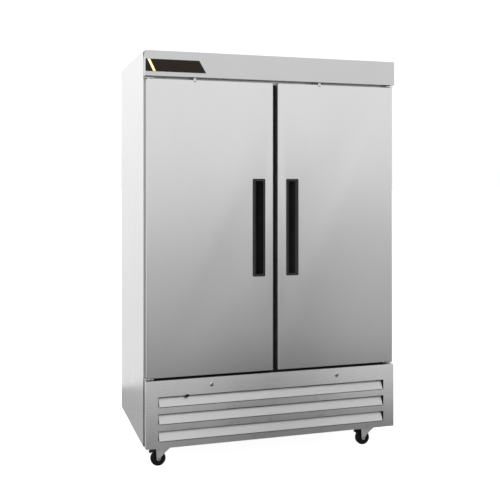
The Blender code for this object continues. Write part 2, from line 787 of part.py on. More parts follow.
def caster_wheel(x, y):
    """Tyre and hub in one moulding, with a bore that runs on the axle."""
    half = WHEEL_WIDTH / 2
    tyre_half = half - 0.001
    web_half = half - HUB_DISH
    tread_half = tyre_half - TYRE_SHOULDER
    side = [
        (AXLE_BORE, half), (HUB_RADIUS, half), (HUB_RADIUS + 0.002, web_half),
        (WEB_OUTER, web_half), (WEB_OUTER + 0.003, tyre_half),
        (WHEEL_RADIUS - TYRE_SHOULDER, tyre_half), (WHEEL_RADIUS, tread_half),
    ]
    profile = [(r, y - offset) for r, offset in side]
    profile += [(r, y + offset) for r, offset in reversed(side)]
    return lathe(profile, (x - TRAIL, WHEEL_RADIUS), "Y", 32, ring=True)


def brake_pedal(x, y):
    """A toe lever on a pin between the fork's legs, over the wheel and out past it."""
    half = WHEEL_WIDTH / 2 + 0.0015
    pin_x = x - TRAIL
    pin_z = PEDAL_PIVOT_Z
    thick = PEDAL_HALF_SHEET
    end_x = pin_x - PEDAL_REACH
    outline = [
        (pin_x + 0.005, pin_z - thick), (pin_x + 0.005, pin_z + thick),
        (pin_x - 0.012, pin_z + 0.0050), (end_x + 0.004, pin_z - 0.012),
        (end_x, pin_z - PEDAL_DROP), (end_x + 0.007, pin_z - PEDAL_DROP - 0.001),
        (pin_x - 0.014, pin_z - thick),
    ]
    return prism(outline, "Y", y - half, y + half)


def casters():
    names = ("front_left", "front_right", "rear_left", "rear_right")
    for name, (x, y) in zip(names, caster_places()):
        swivel = pivot(f"caster_{name}_swivel", (x, y, FORK_TOP))
        axle = pivot(f"caster_{name}_axle", (x - TRAIL, y, WHEEL_RADIUS), swivel)
        add(f"caster_fork_{name}", caster_fork(x, y), "zinc", swivel)
        add(f"caster_wheel_{name}", caster_wheel(x, y), "tread", axle, smooth=True)
        if name.startswith("front"):
            pin = pivot(f"brake_{name}_pin", (x - TRAIL, y, PEDAL_PIVOT_Z), swivel)
            add(f"brake_pedal_{name}", brake_pedal(x, y), "black_plastic", pin)


# --- inside the cabinet ------------------------------------------------------------------
def shelves():
    """Open shelves, three in each section, that lift off their clips."""
    low, high = SHELF_INNER, SHELF_OUTER
    inside = high - low - 2 * SHELF_BORDER
    slot = (inside - (SHELF_SLOTS - 1) * SHELF_BAR) / SHELF_SLOTS
    us = [low]
    for k in range(SHELF_SLOTS):
        start = low + SHELF_BORDER + k * (slot + SHELF_BAR)
        us += [start, start + slot]
    us.append(high)
    middle = (SHELF_FRONT + SHELF_BACK) / 2
    half_bar = SHELF_BAR / 2
    vs = [SHELF_FRONT, SHELF_FRONT + SHELF_BORDER, middle - half_bar, middle + half_bar,
          SHELF_BACK - SHELF_BORDER, SHELF_BACK]
    holes = {(i, j) for i in range(1, 2 * SHELF_SLOTS, 2) for j in (1, 3)}
    for section, side in (("left", "right"), ("right", "left")):
        for level, top in enumerate(SHELF_HEIGHTS, start=1):
            lift = pivot(f"shelf_{section}_{level}_lift", (0, middle, top))
            bm = grid_plate(us, vs, top - SHELF_THICKNESS, top, "Z", holes)
            add(f"shelf_{section}_{level}", mirrored(bm, side), "shelf_coat", lift)


def fan_blades(middle, y, radius, hub, blades, depth):
    """A hub with pitched paddles, turning about Y."""
    rotor = rod(middle, hub, y - depth / 2, y + depth / 2, "Y", 20)
    chord, thickness, pitch = radius * 0.62, 0.0022, math.radians(28)
    for k in range(blades):
        blade = box((hub * 0.6, -thickness / 2, -chord / 2), (radius, thickness / 2, chord / 2))
        bmesh.ops.rotate(blade, matrix=Matrix.Rotation(pitch, 3, "X"), verts=blade.verts)
        turn = Matrix.Rotation(2 * math.pi * k / blades, 3, "Y")
        bmesh.ops.rotate(blade, matrix=turn, verts=blade.verts)
        bmesh.ops.translate(blade, vec=(middle[0], y, middle[1]), verts=blade.verts)
        rotor = join(rotor, blade)
    return rotor


def evaporator():
    """The coil's cover with the fan motor on a bar behind its ring, the coil and the fan."""
    half, front, back = EVAPORATOR_HALF, EVAPORATOR_FRONT, EVAPORATOR_BACK
    top = INNER_CEILING - GAP
    fan = (0, EVAPORATOR_FAN_Z)
    shell = cut(
        box((-half, front, EVAPORATOR_BOTTOM), (half, back, top)),
        box(
            (-half + COVER, front + COVER, EVAPORATOR_BOTTOM + COVER),
            (half - COVER, back - COVER, top + PAST),
        ),
        rod(fan, EVAPORATOR_FAN_RADIUS + FAN_CLEARANCE, front - PAST, front + PAST, "Y", 32),
    )
    bar_front = EVAPORATOR_FAN_Y + 0.030
    bar_half, bar_sheet = 0.008, 0.003
    reach = half - COVER / 2
    bar = box(
        (-reach, bar_front, EVAPORATOR_FAN_Z - bar_half),
        (reach, bar_front + bar_sheet, EVAPORATOR_FAN_Z + bar_half),
    )
    motor = rod(fan, 0.026, bar_front - 0.004, bar_front + 0.040, "Y")
    add("evaporator_housing", join(shell, bar, motor), "liner")
    add("evaporator_coil", finned_block(EVAPORATOR_COIL_LOW, EVAPORATOR_COIL_HIGH, 18), "fins")
    hub = pivot("evaporator_fan_hub", (0, EVAPORATOR_FAN_Y, EVAPORATOR_FAN_Z))
    rotor = fan_blades(fan, EVAPORATOR_FAN_Y, EVAPORATOR_FAN_RADIUS, EVAPORATOR_HUB_RADIUS, 5, 0.024)
    add("evaporator_fan", rotor, "black_plastic", hub)


def interior_controls():
    """The light along the ceiling, and the thermostat's knob on the evaporator cover."""
    light = box(
        (-LIGHT_HALF, LIGHT_FRONT, INNER_CEILING - LIGHT_DROP),
        (LIGHT_HALF, LIGHT_BACK, INNER_CEILING - GAP),
    )
    add("interior_light", light, "lens")
    back = EVAPORATOR_FRONT - GAP
    dial_front, grip_front = back - 0.008, back - 0.018
    grip_half, grip_reach = 0.004, 0.016
    dial = join(
        rod((KNOB_X, KNOB_Z), KNOB_RADIUS, dial_front, back, "Y", 28),
        box(
            (KNOB_X - grip_half, grip_front, KNOB_Z - grip_reach),
            (KNOB_X + grip_half, dial_front + 0.001, KNOB_Z + grip_reach),
        ),
    )
    turn = pivot("thermostat_pivot", (KNOB_X, EVAPORATOR_FRONT, KNOB_Z))
    add("thermostat_knob", dial, "black_plastic", turn)


def finned_block(low, high, fins):
    """A coil as a solid core whose two open faces are grooved between its fins."""
    pitch = (high[0] - low[0]) / fins
    groove = 0.012
    half_gap = pitch * 0.3
    front, back = [], []
    for k in range(fins):
        middle = low[0] + pitch * (k + 0.5)
        edges = (middle - half_gap, middle + half_gap)
        front += [(edges[0], low[1]), (edges[0], low[1] + groove), (edges[1], low[1] + groove),
                  (edges[1], low[1])]
        back += [(edges[0], high[1]), (edges[0], high[1] - groove), (edges[1], high[1] - groove),
                 (edges[1], high[1])]
    outline = [(low[0], low[1]), *front, (high[0], low[1]), (high[0], high[1]), *reversed(back),
               (low[0], high[1])]
    return prism(outline, "Z", low[2], high[2])


# --- condensing unit ---------------------------------------------------------------------
def condensing_unit():
    floor = DECK_TOP + GAP
    add("compressor", compressor(floor), "enamel", smooth=True)
    coil = finned_block(
        (CONDENSER_LOW_X, CONDENSER_FRONT, floor), (CONDENSER_HIGH_X, CONDENSER_BACK, CONDENSER_TOP), 16,
    )
    add("condenser_coil", coil, "fins")
    add("fan_shroud", fan_shroud(floor), "enamel")
    fan = (CONDENSER_FAN_X, CONDENSER_FAN_Z)
    hub = pivot("condenser_fan_hub", (CONDENSER_FAN_X, CONDENSER_FAN_Y, CONDENSER_FAN_Z))
    rotor = fan_blades(fan, CONDENSER_FAN_Y, CONDENSER_FAN_RADIUS, CONDENSER_HUB_RADIUS, 5, 0.026)
    add("condenser_fan", rotor, "black_plastic", hub)
    pan = cut(
        box((PAN_LOW_X, PAN_FRONT, floor), (PAN_HIGH_X, PAN_BACK, floor + PAN_HEIGHT)),
        box(
            (PAN_LOW_X + PAN_WALL, PAN_FRONT + PAN_WALL, floor + PAN_WALL),
            (PAN_HIGH_X - PAN_WALL, PAN_BACK - PAN_WALL, floor + PAN_HEIGHT + PAST),
        ),
    )
    add("drain_pan", pan, "galvanised")
    add("control_box", box((*CONTROL_LOW, floor), (*CONTROL_HIGH, CONTROL_TOP)), "galvanised")
    inlet = join(
        inlet_box(INLET_BODY, 2 * GAP, BACK - 0.020, BACK - GAP),
        inlet_box(INLET_FLANGE, 0, BACK - 0.006, BACK - SKIN - GAP),
    )
    socket = inlet_box(INLET_SOCKET, 0, BACK - 0.014, BACK + PAST)
    add("power_inlet", cut(inlet, socket), "black_plastic")


def compressor(floor):
    """A welded pot with a domed top, on a foot plate."""
    dome = [
        (0.078, 0.012), (0.084, 0.030), (0.084, 0.120),
        (0.076, 0.150), (0.052, 0.168), (0.020, 0.176),
    ]
    pot = lathe([(r, floor + z) for r, z in dome], (COMPRESSOR_X, COMPRESSOR_Y), "Z", 32)
    foot_x, foot_y = COMPRESSOR_FOOT
    foot = box(
        (COMPRESSOR_X - foot_x, COMPRESSOR_Y - foot_y, floor),
        (COMPRESSOR_X + foot_x, COMPRESSOR_Y + foot_y, floor + 0.014),
    )
    return join(pot, foot)


def fan_shroud(floor):
    """A collar behind the condenser, with the fan motor on a bar across its mouth."""
    front, back = CONDENSER_BACK + GAP, CONDENSER_BACK + SHROUD_DEPTH
    fan = (CONDENSER_FAN_X, CONDENSER_FAN_Z)
    shell = cut(
        box((CONDENSER_LOW_X, front, floor), (CONDENSER_HIGH_X, back, CONDENSER_TOP)),
        box(
            (CONDENSER_LOW_X + COVER, front - PAST, floor + COVER),
            (CONDENSER_HIGH_X - COVER, back - COVER, CONDENSER_TOP - COVER),
        ),
        rod(fan, CONDENSER_FAN_RADIUS + FAN_CLEARANCE, back - PAST, back + PAST, "Y", 32),
    )
    bar_front = CONDENSER_FAN_Y + 0.036
    bar_back = bar_front + 0.003
    arm = 0.008
    reach = CONDENSER_FAN_RADIUS + SHROUD_DEPTH
    low_z, high_z = CONDENSER_FAN_Z - arm, CONDENSER_FAN_Z + arm
    bar = box((CONDENSER_FAN_X - reach, bar_front, low_z), (CONDENSER_FAN_X + reach, bar_back, high_z))
    posts = []
    for side in (-1, 1):
        middle = CONDENSER_FAN_X + side * reach
        posts.append(box((middle - arm, back - COVER / 2, low_z), (middle + arm, bar_back, high_z)))
    motor = rod(fan, 0.034, bar_front - 0.004, bar_front + 0.050, "Y")
    return join(shell, bar, *posts, motor)


def main():
    clear_scene()
    outer_skins()
    insulation()
    liner()
    face_frame()
    chassis()
    fascia()
    base_grille()
    hinge_brackets()
    doors()
    casters()
    shelves()
    evaporator()
    interior_controls()
    condensing_unit()


main()
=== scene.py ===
import math

import bmesh
import bpy
from mathutils import Matrix, Vector


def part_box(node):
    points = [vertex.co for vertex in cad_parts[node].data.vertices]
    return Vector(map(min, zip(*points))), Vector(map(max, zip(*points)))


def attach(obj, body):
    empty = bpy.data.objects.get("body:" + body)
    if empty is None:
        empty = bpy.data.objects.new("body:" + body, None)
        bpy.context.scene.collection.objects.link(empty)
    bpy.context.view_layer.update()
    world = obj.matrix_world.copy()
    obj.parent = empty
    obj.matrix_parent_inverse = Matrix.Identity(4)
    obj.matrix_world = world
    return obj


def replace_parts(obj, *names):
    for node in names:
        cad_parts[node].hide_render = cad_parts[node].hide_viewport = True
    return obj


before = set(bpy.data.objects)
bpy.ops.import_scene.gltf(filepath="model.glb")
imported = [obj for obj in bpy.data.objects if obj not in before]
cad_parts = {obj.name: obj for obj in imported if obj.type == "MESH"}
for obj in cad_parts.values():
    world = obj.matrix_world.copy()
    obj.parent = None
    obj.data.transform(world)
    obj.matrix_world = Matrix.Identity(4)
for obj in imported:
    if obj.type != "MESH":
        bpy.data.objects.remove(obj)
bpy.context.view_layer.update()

# --- places read from the frame, in metres ---
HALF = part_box("fascia_panel")[1].x          # half the cabinet's width
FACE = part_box("fascia_panel")[0].y          # front of the fascia, doors and grille
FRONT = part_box("door_handle_left")[0].y     # front of the handle rims
SIDES = ("left", "right")
CASTERS = ("front_left", "front_right", "rear_left", "rear_right")
LEVELS = (1, 2, 3)                          # shelves, from the lowest up
MM = 0.001
SHEET = 1.2 * MM                            # sheet of the fascia and of the base cover
STANDARD = 1.6 * MM                         # sheet of a shelf standard
FACING = Matrix.Rotation(math.radians(90), 4, "X")     # turns a piece drawn up Z to face -Y


# --- Materials ---
class Nodes:
    """A material's node tree, with short ways to add and join nodes."""

    def __init__(self, name, colour, roughness, metallic=0.0, **constants):
        self.material = bpy.data.materials.new(name)
        self.material.use_nodes = True
        self.tree = self.material.node_tree
        self.shader = self.tree.nodes["Principled BSDF"]
        self.roughness = roughness
        self.set(Base_Color=colour, Roughness=roughness, Metallic=metallic, **constants)
        self.place = self.node("TexCoord")["Object"]

    def fill(self, socket, value):
        """Links a socket to another one, or gives it a number, a vector or a colour."""
        if isinstance(value, bpy.types.NodeSocket):
            self.tree.links.new(value, socket)
        else:
            socket.default_value = (*value, 1.0) if socket.type == "RGBA" else value

    def set(self, **values):
        """Fills sockets of the main shader, named with _ for each space."""
        for socket, value in values.items():
            self.fill(self.shader.inputs[socket.replace("_", " ")], value)

    def node(self, kind, inputs=(), **settings):
        """A new node with its settings and filled inputs, as its outputs."""
        node = self.tree.nodes.new("ShaderNode" + kind)
        for name, value in settings.items():
            setattr(node, name, value)
        for socket, value in dict(inputs).items():
            self.fill(node.inputs[socket], value)
        return node.outputs

    def noise(self, scale, stretch=(1, 1, 1), detail=3.0, rough=0.5):
        """Noise from 0 to 1 in the piece's own coordinates, stretched along an axis."""
        scales = [scale * s for s in stretch]
        place = self.node("Mapping", {"Scale": scales, "Vector": self.place})["Vector"]
        values = {"Vector": place, "Scale": 1.0, "Detail": detail, "Roughness": rough}
        return self.node("TexNoise", values)["Fac"]

    def cells(self, scale, output="Distance"):
        """Rounded cells, as the distance from each one's middle or as its colour."""
        return self.node("TexVoronoi", {"Scale": scale, "Vector": self.place})[output]

    def spread(self, value, low, high, start=0.0, end=1.0):
        """A value remapped from start..end to low..high."""
        limits = {"From Min": start, "From Max": end, "To Min": low, "To Max": high}
        return self.node("MapRange", {"Value": value, **limits})["Result"]

    def math(self, operation, a, b):
        """An operation on two numbers or sockets."""
        return self.node("Math", {0: a, 1: b}, operation=operation)["Value"]

    def mix(self, factor, a, b):
        """Two colours mixed by a factor; a and b are colour triples or sockets."""
        return self.node("Mix", {"Factor": factor, 6: a, 7: b}, data_type="RGBA")[2]

    def edges(self, radius):
        """1 along sharp edges, 0 on flat faces, where handling wears a finish."""
        rounded_normal = self.node("Bevel", {"Radius": radius}, samples=4)["Normal"]
        normal = self.node("NewGeometry")["Normal"]
        dot = self.node("VectorMath", {0: rounded_normal, 1: normal}, operation="DOT_PRODUCT")
        return self.spread(dot["Value"], 1.0, 0.0, 0.80, 0.995)

    def vary_roughness(self, value, below, above, start=0.3, end=0.7):
        """Roughness from below to above the finish's own, as a value goes from start to end."""
        self.set(Roughness=self.spread(value, self.roughness - below, self.roughness + above, start, end))

    def bump(self, height, strength, distance):
        """A fine relief, with its depth in metres."""
        inputs = {"Strength": strength, "Distance": distance, "Height": height}
        self.set(Normal=self.node("Bump", inputs)["Normal"])


def scaled(colour, factor):
    """A lighter or darker tone of a colour."""
    return tuple(c * factor for c in colour)


# stretch of the scratches in brushed steel
UPRIGHT = (1, 1, 0.006)
LENGTHWISE = (0.006, 1, 1)


def brushed(name, colour, roughness, grain=UPRIGHT, depth=0.05, contrast=1.0):
    """Brushed stainless: fine parallel scratches, with faint cloudiness and wiping marks."""
    m = Nodes(name, colour, roughness, 1.0)
    scratches = m.noise(900, grain, 4.0, 0.65)
    clouds = m.noise(1.6, (1, 1, 0.7), 2.0)
    smears = m.noise(7.0, (1.0, 1.0, 0.35), 5.0, 0.6)
    tone = m.mix(scratches, scaled(colour, 1 - 0.035 * contrast), scaled(colour, 1 + 0.025 * contrast))
    m.set(Base_Color=m.mix(m.spread(clouds, 0.0, 0.5, 0.35, 0.75), tone, scaled(colour, 0.98)))
    swing = 0.07 * contrast
    fine = m.spread(scratches, roughness - swing, roughness + swing, 0.25, 0.75)
    wiped = m.spread(smears, -0.015, 0.030, 0.35, 0.70)
    m.set(Roughness=m.math("ADD", fine, wiped))
    m.bump(scratches, depth, 0.0002)
    return m.material


def galvanised(name, colour):
    """Zinc-coated sheet with its crystal spangle."""
    m = Nodes(name, colour, 0.42, 1.0)
    grey = m.node("RGBToBW", {"Color": m.cells(55, "Color")})["Val"]
    m.set(Base_Color=m.mix(grey, scaled(colour, 0.84), scaled(colour, 1.12)))
    m.vary_roughness(grey, 0.08, 0.10, 0.0, 1.0)
    m.bump(m.noise(160), 0.04, 0.0003)
    return m.material


def plastic(name, colour, roughness=0.42, grain=0.10, worn=1.6, dusting=0.04, **constants):
    """Moulded plastic: fine spark-eroded grain, handled edges, a little dust."""
    m = Nodes(name, colour, roughness, 0.0, **constants)
    grit = m.noise(1500, detail=2.0)
    dust = m.noise(14, detail=4.0)
    edge = m.math("MULTIPLY", m.edges(0.0012), m.spread(m.noise(60), 0.2, 1.0))
    dusty = m.mix(m.spread(dust, 0.0, dusting, 0.5, 0.8), colour, (0.30, 0.29, 0.28))
    m.set(Base_Color=m.mix(edge, dusty, scaled(colour, worn)))
    m.vary_roughness(dust, 0.05, 0.10, end=0.75)
    m.bump(grit, grain, 0.0003)
    return m.material


def plated(name, colour, roughness=0.30):
    """Zinc-plated steel: slightly blotchy, brighter on its edges."""
    m = Nodes(name, colour, roughness, 1.0)
    blotch = m.noise(38, detail=4.0)
    tone = m.mix(blotch, scaled(colour, 0.80), scaled(colour, 1.08))
    m.set(Base_Color=m.mix(m.edges(0.0010), tone, scaled(colour, 1.25)))
    m.vary_roughness(blotch, 0.06, 0.14)
    m.bump(m.noise(420), 0.05, 0.0003)
    return m.material


def rubber(name, colour, roughness=0.62, **constants):
    """Rubber or soft vinyl: matt, slightly bloomed and scuffed."""
    m = Nodes(name, colour, roughness, 0.0, **constants)
    bloom = m.noise(24, detail=5.0)
    m.set(Base_Color=m.mix(m.spread(bloom, 0.0, 0.35, 0.45, 0.8), colour, scaled(colour, 2.2)))
    m.vary_roughness(bloom, 0.08, 0.16)
    m.bump(m.noise(700), 0.12, 0.0004)
    return m.material


def painted(name, colour, roughness=0.35, orange_peel=0.08, worn=1.8):
    """Sprayed or powder-coated metal with a faint orange peel."""
    m = Nodes(name, colour, roughness, 0.0)
    peel = m.noise(330, detail=1.0)
    grime = m.noise(18, detail=4.0)
    tone = m.mix(m.spread(grime, 0.0, 0.25, 0.45, 0.8), colour, scaled(colour, 0.75))
    m.set(Base_Color=m.mix(m.edges(0.0008), tone, scaled(colour, worn)))
    m.vary_roughness(grime, 0.04, 0.12)
    m.bump(peel, orange_peel, 0.0004)
    return m.material


def foam(name, colour):
    """Foam: matt, with small bubbles."""
    m = Nodes(name, colour, 0.95)
    bubbles = m.cells(900)
    m.set(Base_Color=m.mix(m.noise(20), scaled(colour, 0.82), scaled(colour, 1.1)))
    m.bump(bubbles, 0.6, 0.0008)
    return m.material


def plate_finish(name, colour):
    """The name plate's printed film: dark and glossy, over fine lines."""
    m = Nodes(name, colour, 0.24, 0.0, Specular_IOR_Level=0.15)
    lines = m.noise(500, (0.01, 1, 1), 3.0)
    m.set(Base_Color=m.mix(lines, scaled(colour, 0.55), scaled(colour, 1.7)))
    m.vary_roughness(m.noise(30), 0.04, 0.10)
    m.bump(lines, 0.05, 0.0002)
    return m.material


def stripe_finish(name, colour):
    """The plate's pale stripe: glossy print."""
    m = Nodes(name, colour, 0.30, 0.0, Coat_Weight=0.3)
    m.set(Base_Color=m.mix(m.noise(220), scaled(colour, 0.88), scaled(colour, 1.04)))
    m.vary_roughness(m.noise(40), 0.06, 0.08)
    return m.material


def copper(name):
    """Copper tube with brown tarnish."""
    m = Nodes(name, (0.72, 0.36, 0.22), 0.28, 1.0)
    tarnish = m.noise(26, detail=4.0)
    m.set(Base_Color=m.mix(m.spread(tarnish, 0.0, 1.0, 0.4, 0.75), (0.75, 0.38, 0.23), (0.38, 0.20, 0.13)))
    m.vary_roughness(tarnish, 0.08, 0.17)
    return m.material


def lens(name):
    """Frosted light cover with a faint prismatic rib."""
    m = Nodes(name, (0.86, 0.87, 0.86), 0.35, Emission_Color=(1.0, 0.98, 0.94), Emission_Strength=0.25)
    ribs = m.noise(260, (1, 0.02, 0.02), 1.0)
    m.set(Base_Color=m.mix(ribs, (0.78, 0.79, 0.78), (0.90, 0.91, 0.90)))
    m.bump(ribs, 0.15, 0.0006)
    return m.material


# finishes by name; STEEL is the tone that the sheet's finishes are scaled from, and the lighter and darker
# scalings of it are painted light and shade
STEEL = (0.670, 0.670, 0.668)
WHITE = (1.0, 1.0, 1.0)
M = {
    "door": brushed("door_steel", STEEL, 0.36),
    # side and grille steel are painted lighter, fascia and louvre steel painted darker: one stainless with
    # painted light and shade
    "side": brushed("side_steel_painted_bright", scaled(STEEL, 1.18), 0.26, UPRIGHT, 0.006, 0.3),
    "fascia": brushed("fascia_steel_painted_shade", scaled(STEEL, 0.86), 0.34, LENGTHWISE),
    "grille": brushed("grille_steel_painted_bright", scaled(STEEL, 1.40), 0.29, LENGTHWISE, 0.02, 0.5),
    "louvre": brushed("louvre_steel_painted_shade", scaled(STEEL, 0.80), 0.34, LENGTHWISE),
    "return": brushed("return_steel", STEEL, 0.45),
    # pressed steel is the zinc plate in a lighter tone, painted light on the hinge brackets and forks
    "pressed": plated("pressed_steel_painted_bright", (0.78, 0.79, 0.80), 0.42),
    "moulded": plastic("moulded_black", (0.004, 0.004, 0.004), 0.50, 0.08, 1.5, Specular_IOR_Level=0.18),
    "slot": plastic("slot_shadow", (0.012, 0.012, 0.012), 0.60, 0.05, 1.2, Specular_IOR_Level=0.2),
    "liner": brushed("liner_aluminium", (0.74, 0.75, 0.76), 0.40, (0.02, 1, 1), 0.03),
    "galvanised": galvanised("galvanised_sheet", (0.50, 0.51, 0.52)),
    "fins": brushed("fin_aluminium", (0.70, 0.71, 0.72), 0.35, (1, 1, 0.02)),
    "handle": plastic("handle_plastic", (0.009, 0.009, 0.010), 0.40, 0.08, 1.9, 0.01,
                      Specular_IOR_Level=0.38),
    # a darker black for the faces deep in the pull's pocket: painted shade
    "grip": plastic("pocket_painted_shade_plastic", (0.003, 0.003, 0.003), 0.50, 0.08, 1.6, 0.01, Specular_IOR_Level=0.22),
    "black": plastic("black_plastic", (0.010, 0.010, 0.011), 0.45),
    "breaker": plastic("breaker_plastic", (0.006, 0.006, 0.007), 0.55, 0.08, 1.3),
    "grey": plastic("grey_plastic", (0.30, 0.31, 0.32), 0.45, 0.08, 1.2),
    "white": plastic("white_plastic", (0.72, 0.72, 0.70), 0.40, 0.06, 1.1),
    "zinc": plated("zinc_plate", (0.50, 0.51, 0.52)),
    "screw": plated("screw_steel", (0.62, 0.62, 0.61), 0.24),
    "tread": rubber("tread_rubber", (0.004, 0.004, 0.004), 0.62, Specular_IOR_Level=0.16),
    "vinyl": rubber("gasket_vinyl", (0.020, 0.020, 0.021), 0.50),
    "foam": foam("polyurethane_foam", (0.80, 0.68, 0.40)),
    "enamel": painted("black_enamel", (0.010, 0.010, 0.011), 0.28),
    "coat": painted("shelf_epoxy", (0.46, 0.47, 0.48), 0.38, 0.06, 1.15),
    "plate": plate_finish("plate_film", (0.009, 0.006, 0.004)),
    "stripe": stripe_finish("stripe_film", (0.92, 0.74, 0.38)),
    "copper": copper("copper_tube"),
    "filter": foam("filter_foam", (0.012, 0.012, 0.012)),
    "foam_rubber": rubber("foam_rubber", (0.014, 0.014, 0.015), 0.85),
    "lens": lens("light_cover"),
}

# record slots of the finishes whose slot has another name
SLOTS = {
    "coat": "shelf_coat",
    **dict.fromkeys(("door", "fascia", "grille", "louvre", "return"), "stainless"),
    **dict.fromkeys(("screw", "pressed", "slot"), "zinc"),
    **dict.fromkeys(("moulded", "handle", "black", "filter", "foam_rubber"), "black_plastic"),
}


# --- Shape helpers ---
def box(low, high):
    """A block between two corners."""
    bm = bmesh.new()
    bmesh.ops.create_cube(bm, size=1.0)
    low, high = Vector(low), Vector(high)
    bmesh.ops.scale(bm, vec=high - low, verts=bm.verts)
    bmesh.ops.translate(bm, vec=(high + low) / 2, verts=bm.verts)
    return bm


# a point (u, v) in the plane across an axis, and its place w along that axis, as (x, y, z)
PLACE = {
    "X": lambda u, v, w: (w, u, v),
    "Y": lambda u, v, w: (u, w, v),
    "Z": lambda u, v, w: (u, v, w),
}


def prism(outline, axis, start, end):
    """An outline in the plane across an axis, extruded along that axis."""
    bm = bmesh.new()
    near, far = ([bm.verts.new(PLACE[axis](u, v, w)) for u, v in outline] for w in (start, end))
    bm.faces.new(near)
    bm.faces.new(far)
    for i in range(len(outline)):
        j = (i + 1) % len(outline)
        bm.faces.new((near[i], near[j], far[j], far[i]))
    bmesh.ops.recalc_face_normals(bm, faces=bm.faces)
    return bm


def arc(middle, radius, start, end, steps):
    """Points on an arc from one angle to another, in degrees."""
    angles = (math.radians(start + (end - start) * i / steps) for i in range(steps + 1))
    return [(middle[0] + radius * math.cos(a), middle[1] + radius * math.sin(a)) for a in angles]


def rounded(left, low, right, high, radius, steps=6):
    """Outline of a rectangle with round corners."""
    points = arc((right - radius, high - radius), radius, 0, 90, steps)
    points += arc((left + radius, high - radius), radius, 90, 180, steps)
    points += arc((left + radius, low + radius), radius, 180, 270, steps)
    points += arc((right - radius, low + radius), radius, 270, 360, steps)
    return points


def rod(middle, radius, start, end, axis, segments=32):
    """A faceted cylinder along an axis."""
    return prism(arc(middle, radius, 0, 360 - 360 / segments, segments - 1), axis, start, end)


def skin(bm, here, there, closed=True):
    """Faces between two rows of vertices."""
    for k in range(len(here) if closed else len(here) - 1):
        m = (k + 1) % len(here)
        bm.faces.new((here[k], here[m], there[m], there[k]))


def centre(node):
    """Middle of a CAD node's box."""
    low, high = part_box(node)
    return (low + high) / 2


def lathe(profile, middle, axis, segments=48, ring=False):
    """A profile of (radius, height) turned round an axis; a ring's profile closes on itself."""
    bm = bmesh.new()
    turn = 2 * math.pi / segments
    rings = []
    for i in range(segments):
        c, s = math.cos(i * turn), math.sin(i * turn)
        points = (PLACE[axis](middle[0] + r * c, middle[1] + r * s, h) for r, h in profile)
        rings.append([bm.verts.new(point) for point in points])
    for i in range(segments):
        skin(bm, rings[i], rings[(i + 1) % segments], closed=ring)
    if not ring:
        bm.faces.new([points[0] for points in rings])
        bm.faces.new([points[-1] for points in rings])
    bmesh.ops.recalc_face_normals(bm, faces=bm.faces)
    return bm


def boolean(base, tool, operation):
    """Two solids combined with Blender's exact Boolean. Both inputs are used up."""
    pair = []
    for bm in (base, tool):
        mesh = bpy.data.meshes.new("operand")
        bm.to_mesh(mesh)
        bm.free()
        obj = bpy.data.objects.new("operand", mesh)
        bpy.context.scene.collection.objects.link(obj)
        pair.append(obj)
    modifier = pair[0].modifiers.new("combine", "BOOLEAN")
    modifier.operation = operation
    modifier.solver = "EXACT"
    modifier.object = pair[1]
    evaluated = pair[0].evaluated_get(bpy.context.evaluated_depsgraph_get())
    result = bmesh.new()
    result.from_mesh(evaluated.to_mesh())
    for obj in pair:
        mesh = obj.data
        bpy.data.objects.remove(obj)
        bpy.data.meshes.remove(mesh)
    return result


def cut(base, *tools):
    """A solid with others taken away, one by one."""
    for tool in tools:
        base = boolean(base, tool, "DIFFERENCE")
    return base


def merged(*parts):
    """Several closed solids in one bmesh, as one piece of hardware."""
    whole = bmesh.new()
    for part in parts:
        mesh = bpy.data.meshes.new("part")
        part.to_mesh(mesh)
        part.free()
        whole.from_mesh(mesh)
        bpy.data.meshes.remove(mesh)
    return whole


def moved(bm, matrix):
    bmesh.ops.transform(bm, matrix=matrix, verts=bm.verts)
    return bm


def mirrored(bm, side):
    """A piece drawn for the left side, flipped across the YZ plane for the right side."""
    if side == "right":
        bmesh.ops.scale(bm, vec=(-1, 1, 1), verts=bm.verts)
        bmesh.ops.reverse_faces(bm, faces=bm.faces)
    return bm


def round_edges(obj, width, segments=2):
    """Rounds the sharp edges of an object with a modifier, shaded smooth."""
    bevel = obj.modifiers.new("edges", "BEVEL")
    bevel.width = width
    bevel.segments = segments
    bevel.limit_method = "ANGLE"
    bevel.angle_limit = math.radians(35)
    bevel.miter_outer = "MITER_ARC"
    bevel.harden_normals = True
    return obj


def piece(name, bm, finish, body="cabinet", slot=None, edge=0.0, segments=2, smooth=35):
    """A bmesh in the row frame as a shown piece in its finish, riding on a CAD body."""
    slot = slot or SLOTS.get(finish, finish)
    mesh = bpy.data.meshes.new(name)
    bm.to_mesh(mesh)
    bm.free()
    mesh.materials.append(M[finish])
    mesh.shade_smooth()
    mesh.set_sharp_from_angle(angle=math.radians(smooth))
    obj = bpy.data.objects.new(name, mesh)
    bpy.context.scene.collection.objects.link(obj)
    if edge:
        round_edges(obj, edge, segments)
    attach(obj, body)
    return obj


def tubes(name, runs, radius, finish, body, sides=3, smooth=True):
    """Round wires or pipes along runs of points, as one curve piece."""
    curve = bpy.data.curves.new(name, "CURVE")
    curve.dimensions = "3D"
    curve.bevel_depth = radius
    curve.bevel_resolution = sides
    curve.use_fill_caps = True
    for run in runs:
        spline = curve.splines.new("POLY")
        spline.points.add(len(run) - 1)
        for point, place in zip(spline.points, run):
            point.co = (*place, 1.0)
        spline.use_smooth = smooth
    curve.materials.append(M[finish])
    obj = bpy.data.objects.new(name, curve)
    bpy.context.scene.collection.objects.link(obj)
    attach(obj, body)
    return obj


def bent(points, radius, steps=5):
    """A route through points, with each inner corner rounded."""
    points = [Vector(p) for p in points]
    route = [points[0]]
    for before, here, after in zip(points, points[1:], points[2:]):
        into, out = (before - here), (after - here)
        reach = min(radius, into.length / 2, out.length / 2)
        a, b = here + into.normalized() * reach, here + out.normalized() * reach
        for k in range(steps + 1):
            t = k / steps
            route.append((1 - t) ** 2 * a + 2 * t * (1 - t) * here + t * t * b)
    return [*route, points[-1]]


